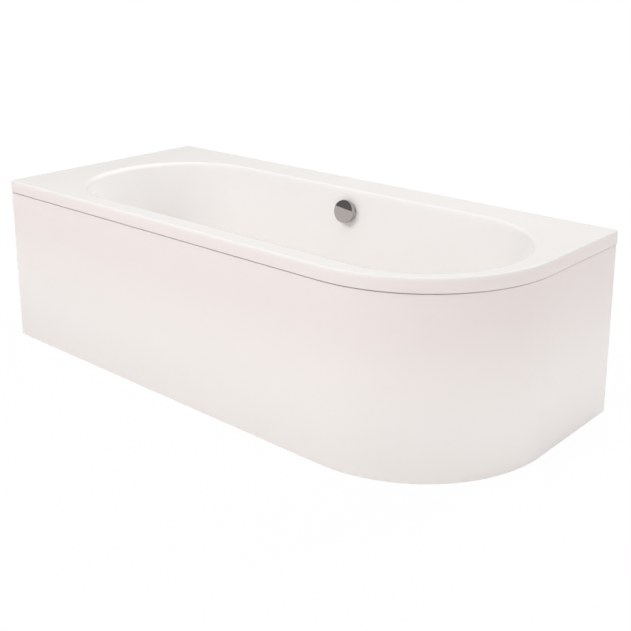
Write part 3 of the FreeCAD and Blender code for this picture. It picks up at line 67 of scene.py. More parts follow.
def length(name, default, description):
    """A size in metres, shown in the file's own units."""
    return number(name, default, description, unit="LENGTH", precision=4)


def degrees(name, default, description):
    """An angle, given in degrees and kept in radians."""
    return number(name, math.radians(default), description, subtype="ANGLE")


def whole(name, default, lowest, description):
    return bpy.props.IntProperty(name=name, default=default, min=lowest,
                                 description=description)


def colour(name, default, description):
    """A colour as linear red, green and blue."""
    return bpy.props.FloatVectorProperty(name=name, default=(*default, 1), size=4,
                                         subtype="COLOR", min=0, max=1,
                                         description=description)


class ShellSizes(bpy.types.PropertyGroup):
    """The moulded bath."""
    corner_radius: length("Corner radius", 0.400, "Radius of the large curved corner")
    square_radius: length("Square corners", 0.008, "Radius of the three near-square corners")
    skirt: length("Skirt height", 0.038, "Height of the rim's turned-down skirt")
    rim_edge: length("Rim edge", 0.006, "Radius along the top of the skirt")
    skirt_edge: length("Skirt edge", 0.0016, "Radius along the foot of the skirt")
    # How far in from the outline the skirt's finish, with its painted shade, reaches.
    skirt_shade_band: length("Skirt band", 0.0065, "How far in the skirt's finish reaches")
    thickness: length("Thickness", 0.005, "Thickness of the moulded sheet")
    lip: length("Lip radius", 0.018, "Radius of the rolled lip of the basin")
    half_length: length("Basin half length", 0.750, "Half the length of the opening")
    half_width: length("Basin half width", 0.2775, "Half the width of the opening")
    depth: length("Basin depth", 0.380, "From the rim to the floor of the basin")
    side_floor_radius: length("Side floor radius", 0.095, "Where side walls meet the floor")
    end_floor_radius: length("End floor radius", 0.160, "Where end walls meet the floor")
    side_slope: degrees("Side slope", 9, "Lean of the sides")
    end_slope: degrees("End slope", 24, "Lean of the ends")
    overflow_hole: length("Overflow hole", 0.026, "Radius of the hole for the overflow")
    ring_points: whole("Points round the basin", 160, 32, "Points in each ring of the basin")


class PanelSizes(bpy.types.PropertyGroup):
    """The panel below the rim."""
    setback: length("Setback", 0.004, "How far the panel stands behind the skirt")
    thickness: length("Thickness", 0.004, "Thickness of the panel")
    flange: length("Flange", 0.022, "Width of the flange along the top")
    edge: length("Edge radius", 0.002, "Radius along the top of the panel")
    foot_edge: length("Foot edge", 0.0008, "Radius along the foot of the panel")
    curve_steps: whole("Curve steps", 72, 16, "Steps round the large corner")


class WasteSizes(bpy.types.PropertyGroup):
    """The knob and the plug."""
    knob_radius: length("Knob radius", 0.035, "Radius of the turning knob")
    knob_stand_off: length("Knob stand-off", 0.008, "Gap between the wall and the knob")
    knob_depth: length("Knob depth", 0.016, "Thickness of the knob")
    knob_wall: length("Knob wall", 0.003, "Thickness of the knob's wall")
    knob_edge: length("Knob edge", 0.0012, "Radius round the knob's face")
    knob_turned: degrees("Knob turned", -7, "How far the closed knob stands turned")
    grip_start: length("Grip start", 0.010, "Height of the grip's edge above the middle")
    grip_fall: length("Grip fall", 0.005, "How far the grip falls back at the rim")
    grip_edge: length("Grip edge", 0.0005, "Radius along the grip's edge")
    plug_edge: length("Plug edge", 0.0016, "Radius round the plug")


class PlumbingSizes(bpy.types.PropertyGroup):
    """The hose and the cable."""
    hose_crest: length("Hose crest", 0.016, "Radius of the hose over its ribs")
    hose_valley: length("Hose valley", 0.014, "Radius of the hose between its ribs")
    hose_bore: length("Hose bore", 0.0123, "Radius of the hose's bore")
    rib_pitch: length("Rib pitch", 0.009, "Distance from rib to rib")
    cuff: length("Cuff", 0.032, "Least length of the plain cuff at each end of the hose")
    cable_diameter: length("Cable diameter", 0.006, "Diameter over the sleeve")


class FootSizes(bpy.types.PropertyGroup):
    """The levelling feet."""
    stud_radius: length("Stud radius", 0.005, "Radius over the thread")
    thread_pitch: length("Thread pitch", 0.0015, "Distance from thread to thread")
    thread_depth: length("Thread depth", 0.0008, "Depth of the thread")
    pad_radius: length("Pad radius", 0.028, "Radius of the pad")
    pad_height: length("Pad height", 0.020, "Height of the pad's hub")
    pad_seat: length("Pad seat", 0.008, "Where the stud's end sits above the floor")
    web_rise: length("Web rise", 0.0028, "How far the pad's webs stand up")
    nut_flats: length("Nut across flats", 0.017, "Width of a lock nut across its flats")
    nut_height: length("Nut height", 0.008, "Height of a lock nut")


class FinishColours(bpy.types.PropertyGroup):
    """The colours of the finishes."""
    acrylic: colour("Acrylic", (0.85, 0.825, 0.808), "Warm white acrylic of the shell")
    # The next two colours are painted light and shade: the first lighter as painted light
    # bounced from the floor low on the panel, the second darker and pinker as painted shade
    # high on the panel and on the skirt.
    panel: colour("Panel", (0.90, 0.855, 0.83), "Warm white acrylic low on the panel")
    panel_top: colour("Panel top", (0.83, 0.755, 0.735), "Pinker white high on the panel")
    backing: colour("Backing", (0.62, 0.60, 0.50), "Resin and glass fibre backing")
    chrome: colour("Chrome", (0.47, 0.45, 0.445), "Polished chrome plate")
    white_plastic: colour("White plastic", (0.70, 0.70, 0.68), "White polypropylene")
    grey_plastic: colour("Grey plastic", (0.16, 0.17, 0.18), "Grey polypropylene")
    black_plastic: colour("Black plastic", (0.012, 0.012, 0.013), "Black polypropylene")
    hose: colour("Hose", (0.34, 0.35, 0.36), "Corrugated hose")
    zinc: colour("Zinc", (0.52, 0.53, 0.54), "Bright zinc plate")
    spring: colour("Spring steel", (0.312, 0.318, 0.324), "Spring steel of the clips")
    galvanised: colour("Galvanised steel", (0.36, 0.38, 0.39), "Galvanised sheet")
    brass: colour("Brass", (0.60, 0.42, 0.16), "Turned brass")
    sleeve: colour("Sleeve", (0.015, 0.015, 0.016), "Sleeve of the cable")
    rubber: colour("Rubber", (0.012, 0.012, 0.012), "Black rubber seals")
    foam: colour("Foam", (0.62, 0.62, 0.6), "White foam seals")
    magnet: colour("Magnet", (0.03, 0.03, 0.032), "Sintered magnet")
    softwood: colour("Softwood", (0.50, 0.32, 0.15), "Planed softwood")
    board: colour("Board", (0.56, 0.50, 0.36), "Sealed chipboard")


class StageSizes(bpy.types.PropertyGroup):
    """The camera and the light."""
    sky: number("Sky", 0.3, "Strength of the even light all round", min=0)
    wall_tone: number("Wall tone", 0.2, "How bright the studio's walls are in reflections, "
                      "against a white ceiling", min=0, max=1)
    camera_place: bpy.props.FloatVectorProperty(
        name="Camera", default=(1.982, -2.097, 1.267), subtype="TRANSLATION",
        description="Where the camera stands")
    camera_yaw: degrees("Yaw", 41.70, "Turn to the left")
    camera_pitch: degrees("Pitch", -14.37, "Tilt down")
    focal_pixels: number("Focal length", 1027, "Focal length in pixels of the photo")
    centre_row: number("Centre row", 200, "Row of the photo that the camera's axis meets")
    picture: number("Picture", 631, "Width and height of the photo in pixels")


# ---- places read from the frame

def middle_of(node):
    low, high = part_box(node)
    return [(a + b) / 2 for a, b in zip(low, high)]


BASIN_X, BASIN_Y, _ = middle_of("waste_lower_seal")
WASTE_HOLE_RADIUS = 0.027
# The overflow sits this far below the rim, in a back wall that leans in from the Y of the
# opening's back edge.
OVERFLOW_DROP, BACK_EDGE, WALL_SLOPE = 0.066, 0.246, math.radians(9)
OVERFLOW = (BASIN_X, BACK_EDGE - OVERFLOW_DROP * math.tan(WALL_SLOPE),
            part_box("bath_shell")[1][2] - OVERFLOW_DROP)
# The radius that stands for a turned piece's axis, so that its last ring keeps its points.
AXIS = 0.0001
# How near two lengths have to be to count as one.
NEAR = 0.00001


# ---- ways to shape a piece

def object_mode():
    if bpy.context.object and bpy.context.object.mode != "OBJECT":
        bpy.ops.object.mode_set(mode="OBJECT")


def clear_selection():
    object_mode()
    bpy.ops.object.select_all(action="DESELECT")


def make_active(piece):
    clear_selection()
    piece.select_set(True)
    bpy.context.view_layer.objects.active = piece


def edit(piece):
    """Makes a piece ready to be shaped, with everything selected."""
    make_active(piece)
    bpy.ops.object.mode_set(mode="EDIT")
    bpy.ops.mesh.select_all(action="SELECT")


def settle(piece, place=None, turn=None):
    """Gives a piece its place and puts that place into its mesh."""
    make_active(piece)
    if turn is not None:
        piece.rotation_euler = turn
    if place is not None:
        piece.location = place
    bpy.ops.object.transform_apply(location=True, rotation=True, scale=True)
    return piece


def on_overflow(piece):
    """Sets a piece square to the basin's back wall, its own Z into the basin."""
    return settle(piece, OVERFLOW, (math.pi / 2 - WALL_SLOPE, 0, 0))


def started(name):
    """The primitive that was just added: named, with its place in its mesh, and ready to
    be shaped."""
    piece = bpy.context.object
    piece.name = piece.data.name = name
    settle(piece)
    edit(piece)
    return piece


def choose(kind, test):
    """Selects only the vertices, edges or faces that pass a test."""
    piece = bpy.context.object
    bpy.ops.mesh.select_mode(type=kind)
    bpy.ops.mesh.select_all(action="DESELECT")
    mesh = bmesh.from_edit_mesh(piece.data)
    mesh.verts.index_update()
    every = {"VERT": mesh.verts, "EDGE": mesh.edges, "FACE": mesh.faces}[kind]
    found = [item for item in every if test(item)]
    if not found:
        raise RuntimeError("%s: nothing to select" % piece.name)
    for item in found:
        item.select_set(True)
    mesh.select_flush_mode()
    bmesh.update_edit_mesh(piece.data)


def ends_pass(edge, test):
    return all(test(vertex.co) for vertex in edge.verts)


def pick(kind, test):
    """Selects by place: vertices, edges by both ends, or faces by middle and normal."""
    choose(kind, {"VERT": lambda vertex: test(vertex.co),
                  "EDGE": lambda edge: ends_pass(edge, test),
                  "FACE": lambda face: test(face.calc_center_median(), face.normal)}[kind])


def shift(x=0, y=0, z=0):
    bpy.ops.transform.translate(value=(x, y, z))


def stretch(x, y, z, about):
    bpy.ops.transform.resize(value=(x, y, z), center_override=tuple(about))


def draw_out(x=0, y=0, z=0):
    """Extrudes what is selected."""
    bpy.ops.mesh.extrude_region_move(TRANSFORM_OT_translate={"value": (x, y, z)})


def round_off(radius, segments, affect="VERTICES"):
    """Rounds the selected corners of a flat outline, or the selected edges."""
    bpy.ops.mesh.bevel(offset=radius, segments=segments, affect=affect)


def cut_across(place, normal, drop=False):
    """Cuts through everything along a plane; what lies beyond it may be dropped."""
    bpy.ops.mesh.select_all(action="SELECT")
    bpy.ops.mesh.bisect(plane_co=place, plane_no=normal, clear_outer=drop, use_fill=drop)


def modify(piece, kind, **settings):
    """Adds a modifier and applies it."""
    make_active(piece)
    modifier = piece.modifiers.new(kind.title(), kind)
    for name, value in settings.items():
        setattr(modifier, name, value)
    bpy.ops.object.modifier_apply(modifier=modifier.name)


def soften(piece, width, segments, angle):
    """Bevels the edges that are sharper than an angle in degrees."""
    modify(piece, "BEVEL", width=width, segments=segments, limit_method="ANGLE",
           angle_limit=math.radians(angle))


def combine(piece, operation, other):
    """Takes another piece away from this one, or keeps what both share, and drops it."""
    modify(piece, "BOOLEAN", operation=operation, solver="EXACT", object=other)
    bpy.data.objects.remove(other)


def close_up(piece, distance=NEAR):
    """Joins doubled points and turns every face outwards."""
    edit(piece)
    bpy.ops.mesh.remove_doubles(threshold=distance)
    bpy.ops.mesh.normals_make_consistent(inside=False)
    object_mode()


def join(name, pieces):
    """Several pieces as one."""
    make_active(pieces[0])
    for piece in pieces:
        piece.select_set(True)
    bpy.ops.object.join()
    pieces[0].name = pieces[0].data.name = name
    return pieces[0]


def copied(name, piece, x, y, z):
    """A copy with a mesh and a name of its own, moved by this much."""
    make_active(piece)
    bpy.ops.object.duplicate(linked=False)
    twin = settle(bpy.context.object, (x, y, z))
    twin.name = twin.data.name = name
    return twin


def turned(name, profile, sides):
    """A piece turned about its own Z: a ring drawn out and widened from one station of
    its profile, radius and height, to the next.  A profile that ends where it starts makes
    a hollow piece; any other is closed by a face at each end."""
    radius, level = profile[0]
    hollow = profile[-1] == profile[0]
    bpy.ops.mesh.primitive_circle_add(vertices=sides, radius=radius, location=(0, 0, level),
                                      fill_type="NOTHING" if hollow else "NGON")
    piece = started(name)
    bpy.ops.mesh.select_mode(type="EDGE")
    for next_radius, next_level in profile[1:]:
        draw_out(z=next_level - level)
        factor = next_radius / radius
        stretch(factor, factor, 1, (0, 0, next_level))
        radius, level = next_radius, next_level
    close_up(piece)
    return piece


def rounding(radius, level, edge, turns):
    """Stations of a profile along an arc about (radius, level)."""
    return [(radius + edge * math.cos(turn), level + edge * math.sin(turn))
            for turn in map(math.radians, turns)]


def finish(piece, body, slot, *nodes, angle=30):
    """Shades a piece, gives it its body and, where it has none yet, the finish of its slot,
    and hides the nodes that it stands for."""
    object_mode()
    if piece.type == "MESH":
        make_active(piece)
        bpy.ops.object.shade_smooth_by_angle(angle=math.radians(angle))
    if not piece.data.materials:
        piece.data.materials.append(FINISHES[slot])
    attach(piece, body)
    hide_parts(*nodes)


# ---- effects that finishes share

WHITE = (1, 1, 1, 1)
# A Mix node's sockets by number, since those for colours and for values share their names.
COLOR_A, COLOR_B, COLOR_RESULT = 6, 7, 2
VALUE_A, VALUE_B = 2, 3
# How much finer the dust of the mottle is than its slow changes.
DUST = 9

GROUPS = {}
FINISHES = {}


def new_group(name, inputs, outputs):
    """A shader node group: inputs by name and value, outputs by name and kind."""
    tree = bpy.data.node_groups.new(name, "ShaderNodeTree")
    for label, value in inputs.items():
        kind = "NodeSocketColor" if value == WHITE else "NodeSocketFloat"
        tree.interface.new_socket(name=label, in_out="INPUT",
                                  socket_type=kind).default_value = value
    for label, kind in outputs.items():
        tree.interface.new_socket(name=label, in_out="OUTPUT", socket_type=kind)
    return tree, tree.nodes.new("NodeGroupInput"), tree.nodes.new("NodeGroupOutput")


def add_node(tree, kind, **settings):
    """A shader node with its settings and the values of its inputs, by their names."""
    node = tree.nodes.new("ShaderNode" + kind)
    for name, value in settings.items():
        label = name.replace("_", " ")
        if label in node.inputs:
            node.inputs[label].default_value = value
        else:
            setattr(node, name, value)
    return node


def wire(tree, *links):
    """Joins an output of one node to an input of another, link by link."""
    for source, output, target, entry in links:
        tree.links.new(source.outputs[output], target.inputs[entry])


def shared(tree, effect, **values):
    """Places a shared effect in a material, with values of its own."""
    return add_node(tree, "Group", node_tree=GROUPS[effect], **values)


def soft_mottle():
    """Slow changes of colour over a moulded surface, and of gloss with fine dust."""
    tree, given, result = new_group(
        "Soft mottle", {"Color": WHITE, "Shade": WHITE, "Scale": 3.0, "Amount": 0.3,
                        "Low Roughness": 0.1, "High Roughness": 0.2},
        {"Color": "NodeSocketColor", "Roughness": "NodeSocketFloat"})
    place = add_node(tree, "TexCoord")
    slow = add_node(tree, "TexNoise", Detail=3.0, Roughness=0.5)
    fine = add_node(tree, "TexNoise", Detail=5.0, Roughness=0.6)
    finer = add_node(tree, "Math", operation="MULTIPLY")
    finer.inputs[1].default_value = DUST
    share = add_node(tree, "Math", operation="MULTIPLY")
    mix = add_node(tree, "Mix", data_type="RGBA")
    gloss = add_node(tree, "MapRange")
    wire(tree, (place, "Object", slow, "Vector"), (place, "Object", fine, "Vector"),
         (given, "Scale", slow, "Scale"), (given, "Scale", finer, 0),
         (finer, 0, fine, "Scale"), (slow, "Fac", share, 0), (given, "Amount", share, 1),
         (share, 0, mix, 0), (given, "Color", mix, COLOR_A), (given, "Shade", mix, COLOR_B),
         (fine, "Fac", gloss, "Value"), (given, "Low Roughness", gloss, "To Min"),
         (given, "High Roughness", gloss, "To Max"),
         (mix, COLOR_RESULT, result, "Color"), (gloss, "Result", result, "Roughness"))
    return tree


def surface_relief():
    """A bump from a noise."""
    tree, given, result = new_group(
        "Surface relief", {"Scale": 200.0, "Strength": 0.1, "Distance": 0.0005},
        {"Normal": "NodeSocketVector"})
    place = add_node(tree, "TexCoord")
    grain = add_node(tree, "TexNoise", Detail=4.0, Roughness=0.55)
    bump = add_node(tree, "Bump")
    wire(tree, (place, "Object", grain, "Vector"), (given, "Scale", grain, "Scale"),
         (grain, "Fac", bump, "Height"), (given, "Strength", bump, "Strength"),
         (given, "Distance", bump, "Distance"), (bump, "Normal", result, "Normal"))
    return tree


def painted_light_by_height():
    """Painted light and shade: a colour that changes slowly from a low level to a high one."""
    tree, given, result = new_group(
        "Height fade", {"Low Color": WHITE, "High Color": WHITE, "Low": 0.0, "High": 1.0},
        {"Color": "NodeSocketColor"})
    place = add_node(tree, "TexCoord")
    parts = add_node(tree, "SeparateXYZ")
    climb = add_node(tree, "MapRange", interpolation_type="SMOOTHSTEP")
    mix = add_node(tree, "Mix", data_type="RGBA")
    wire(tree, (place, "Object", parts, 0), (parts, "Z", climb, "Value"),
         (given, "Low", climb, "From Min"), (given, "High", climb, "From Max"),
         (climb, "Result", mix, 0), (given, "Low Color", mix, COLOR_A),
         (given, "High Color", mix, COLOR_B), (mix, COLOR_RESULT, result, "Color"))
    return tree


# ---- finishes

def toned(value, factor):
    return (*(part * factor for part in value[:3]), 1)


def plain_finish(slot, name, base, shade, metallic=0.0, roughness=(0.3, 0.5), scale=8.0,
                 relief=None, amount=0.5, specular=0.5):
    """A material with mottled colour and roughness.  Its shade is a colour or a share of
    the base, and its relief, where it has one, is (scale, strength, distance)."""
    if isinstance(shade, float):
        shade = toned(base, shade)
    FINISHES[slot] = material = bpy.data.materials.new(name)
    material.use_nodes = True
    tree = material.node_tree
    shader = tree.nodes["Principled BSDF"]
    shader.inputs["Metallic"].default_value = metallic
    shader.inputs["Specular IOR Level"].default_value = specular
    mottle = shared(tree, "mottle", Color=base, Shade=shade, Scale=scale, Amount=amount,
                    Low_Roughness=roughness[0], High_Roughness=roughness[1])
    wire(tree, (mottle, "Color", shader, "Base Color"),
         (mottle, "Roughness", shader, "Roughness"))
    if relief:
        bump = shared(tree, "relief", Scale=relief[0], Strength=relief[1],
                      Distance=relief[2])
        wire(tree, (bump, "Normal", shader, "Normal"))
    return tree, shader, mottle


def painted_light_finish(slot, name, low_color, high_color, low, high):
    """Acrylic with painted light and shade, whose colour and mottle shade change slowly with
    height.
    """
    tree, _, mottle = plain_finish(slot, name, low_color, ACRYLIC_SHADE, **ACRYLIC)
    for socket, factor in (("Color", 1.0), ("Shade", ACRYLIC_SHADE)):
        fade = shared(tree, "fade", Low_Color=toned(low_color, factor),
                      High_Color=toned(high_color, factor), Low=low, High=high)
        wire(tree, (fade, "Color", mottle, socket))


def patterned_finish(slot, name, base, shade, texture, output, stops, grain=(1, 1, 1),
                     **looks):
    """A plain finish that takes its colour from a texture, drawn out along its grain.
    Each of the two stops is a value of the texture and the share of the base there."""
    tree, shader, _ = plain_finish(slot, name, base, shade, **looks)
    place = add_node(tree, "TexCoord")
    mapping = add_node(tree, "Mapping", Scale=grain)
    kind, settings = texture
    figure = add_node(tree, kind, **settings)
    ramp = add_node(tree, "ValToRGB")
    for stop, (position, share) in zip(ramp.color_ramp.elements, stops):
        stop.position, stop.color = position, toned(base, share)
    wire(tree, (place, "Object", mapping, "Vector"), (mapping, "Vector", figure, "Vector"),
         (figure, output, ramp, "Fac"), (ramp, "Color", shader, "Base Color"))


def fibre_finish(slot, name, base):
    """Sprayed glass fibre and resin: short strands that stand out of a rough coat."""
    tree, shader, _ = plain_finish(slot, name, base, 0.82, roughness=(0.35, 0.65),
                                   scale=14.0, amount=0.9)
    place = add_node(tree, "TexCoord")
    strands = add_node(tree, "TexNoise", Scale=90.0, Detail=2.0, Distortion=4.0)
    bump = add_node(tree, "Bump", Strength=0.5, Distance=0.0008)
    wire(tree, (place, "Object", strands, "Vector"), (strands, "Fac", bump, "Height"),
         (bump, "Normal", shader, "Normal"))


# The share of its colour that the acrylic's shade has, and the rest of its looks.
ACRYLIC_SHADE = 0.98
ACRYLIC = {"roughness": (0.2, 0.28), "scale": 1.2, "amount": 0.6, "specular": 0.22,
           "relief": (3.0, 0.02, 0.002)}
# The levels between which painted light and shade change the colour: the panel lighter low
# down as painted light bounced from the floor and darker, pinker high up as painted shade
# under the rim; the skirt darker, pinker below its top edge as painted shade.
PANEL_PAINTED_LIGHT, SKIRT_PAINTED_SHADE = (0.12, 0.46), (0.508, 0.5195)
# How metallic moulded plastic is, its roughness, and the scales of its mottle and relief.
MOULDED = (0.0, (0.32, 0.48), 25.0, (900, 0.08, 0.0002))
# The plain finishes: slot, name, colour, and what plain_finish takes next.
PLAIN = [
    ("chrome", "polished chrome", "chrome", 0.93, 1.0, (0.05, 0.11), 20.0),
    ("zinc_steel", "zinc plate", "zinc", 0.8, 1.0, (0.22, 0.4), 60.0),
    ("spring_steel", "spring steel", "spring", 0.75, 1.0, (0.25, 0.4), 40.0),
    ("brass", "turned brass", "brass", 0.85, 1.0, (0.2, 0.35), 60.0),
    ("white_plastic", "white polypropylene", "white_plastic", 0.85, *MOULDED),
    ("grey_plastic", "grey polypropylene", "grey_plastic", 0.85, *MOULDED),
    ("black_plastic", "black polypropylene", "black_plastic", 0.85, *MOULDED),
    ("grey_hose", "hose plastic", "hose", 0.85, *MOULDED),
    ("black_sleeve", "cable sleeve", "sleeve", (0.03, 0.03, 0.03, 1), 0.0, (0.35, 0.5), 40.0),
    ("rubber_seal", "black rubber", "rubber", (0.03, 0.03, 0.03, 1), 0.0, (0.6, 0.85), 60.0,
     (1200, 0.15, 0.0002)),
    ("foam_seal", "white foam", "foam", (0.5, 0.5, 0.48, 1), 0.0, (0.7, 0.9), 60.0,
     (1500, 0.4, 0.0004)),
    ("magnet", "sintered magnet", "magnet", (0.06, 0.06, 0.06, 1), 0.3, (0.5, 0.7), 90.0),
]


class BATH_OT_finishes(bpy.types.Operator):
    """Makes the shared effects and every finish"""
    bl_idname = "bath.finishes"
    bl_label = "Finishes"

    def execute(self, context):
        group = context.scene.bath_finish
        tone = {name: tuple(getattr(group, name)) for name in FinishColours.__annotations__}
        # The third group paints light and shade by height.
        GROUPS.update(mottle=soft_mottle(), relief=surface_relief(), fade=painted_light_by_height())
        for slot, name, base, *looks in PLAIN:
            plain_finish(slot, name, tone[base], *looks)
        plain_finish("white_acrylic", "white acrylic", tone["acrylic"], ACRYLIC_SHADE,
                     **ACRYLIC)
        # The panel gets painted light low down and painted shade high up, and the skirt
        # painted shade below its top edge.
        painted_light_finish("panel", "panel acrylic", tone["panel"], tone["panel_top"], *PANEL_PAINTED_LIGHT)
        painted_light_finish("skirt", "skirt acrylic", tone["panel_top"], tone["acrylic"],
                     *SKIRT_PAINTED_SHADE)
        fibre_finish("backing", "glass fibre backing", tone["backing"])
        patterned_finish("coated_board", "sealed chipboard", tone["board"], 0.7,
                         ("TexVoronoi", {"Scale": 220.0}), "Color", ((0, 0.55), (0.8, 1)),
                         roughness=(0.3, 0.55), relief=(160, 0.2, 0.0006))
        patterned_finish("galvanised_steel", "galvanised steel", tone["galvanised"], 0.75,
                         ("TexVoronoi", {"Scale": 120.0}), "Color", ((0, 0.8), (1, 1.25)),
                         metallic=0.9, roughness=(0.35, 0.55))
        patterned_finish("softwood", "softwood", tone["softwood"], 0.8,
                         ("TexNoise", {"Scale": 6.0, "Detail": 6.0, "Distortion": 0.6}),
                         "Fac", ((0.35, 0.6), (0.62, 1)), grain=(1.5, 30, 30),
                         roughness=(0.55, 0.75), relief=(300, 0.15, 0.0004))
        return {"FINISHED"}


class BATH_OT_frame_finishes(bpy.types.Operator):
    """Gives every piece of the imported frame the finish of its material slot"""
    bl_idname = "bath.frame_finishes"
    bl_label = "Frame Finishes"

    def execute(self, context):
        slots = {part["node"]: part["material_slot"]
                 for part in frame["record"]["subparts"]}
        for name, node in frame["nodes"].items():
            node.data.materials.clear()
            node.data.materials.append(FINISHES[slots[name]])
        return {"FINISHED"}


# ---- the shell

# Where the basin's rings lie: angles round the lip, heights of the walls above the floor and
# angles of the arc into the floor.  The first ring stands a little outside the lip.
LIP_ANGLES = (*range(8, 69, 10), 76)
WALL_HEIGHTS = (0.355, 0.34, 0.31, 0.27, 0.23, 0.19, 0.16, 0.14, 0.12, 0.10)
FLOOR_ANGLES = (*range(80, 7, -6), 4, 0)
LEDGE_RING = 0.004
# Where the basin's long faces are divided, on both sides of the waste.
DIVISIONS = (0.06, 0.15, 0.3)
# The width of the level ring inside the rim's rounded edge, and a Y on the back ledge.
RIM_RING, LEDGE_Y = 0.0012, 0.31


def wall_inset(height, slope, floor_radius, sizes):
    """How far the basin's wall stands in from the edge of its opening, at a height above
    the floor: a lip rolled over the ledge, a sloping wall and an arc into the floor."""
    depth, lip = sizes.depth, sizes.lip
    corner = math.tan((math.pi / 2 + slope) / 2)
    below = depth - height
    if below < lip / corner * math.cos(slope):
        return math.sqrt(max(lip ** 2 - (lip - below) ** 2, 0)) - lip / corner
    below_centre = floor_radius - height
    if below_centre > floor_radius * math.sin(slope):
        foot = depth * math.tan(slope) + floor_radius / corner
        return foot - math.sqrt(max(floor_radius ** 2 - below_centre ** 2, 0))
    return below * math.tan(slope)


def arc_falls(radius, turns):
    """How far an arc falls away from its tangent at these angles, in degrees."""
    return [radius * (1 - math.cos(math.radians(turn))) for turn in turns]


def next_ring(ring, new_ring):
    """Draws the selected ring of the basin out to a new one and returns that.  A ring is
    the radius of its round ends, how far their middles lie from the waste and a level."""
    (radius, reach, level), (new_radius, new_reach, new_level) = ring, new_ring
    factor = new_radius / radius
    draw_out(z=new_level - level)
    mesh = bmesh.from_edit_mesh(bpy.context.object.data)
    mesh.verts.index_update()
    side = {vertex.index: 1 if vertex.co.x > BASIN_X else -1
            for vertex in mesh.verts if vertex.select}
    for sign in (-1, 1):
        choose("VERT", lambda vertex: side.get(vertex.index) == sign)
        stretch(factor, factor, 1, (BASIN_X + sign * reach, BASIN_Y, new_level))
        shift(x=sign * (new_reach - reach))
    choose("EDGE", lambda edge: all(vertex.index in side for vertex in edge.verts))
    return new_ring


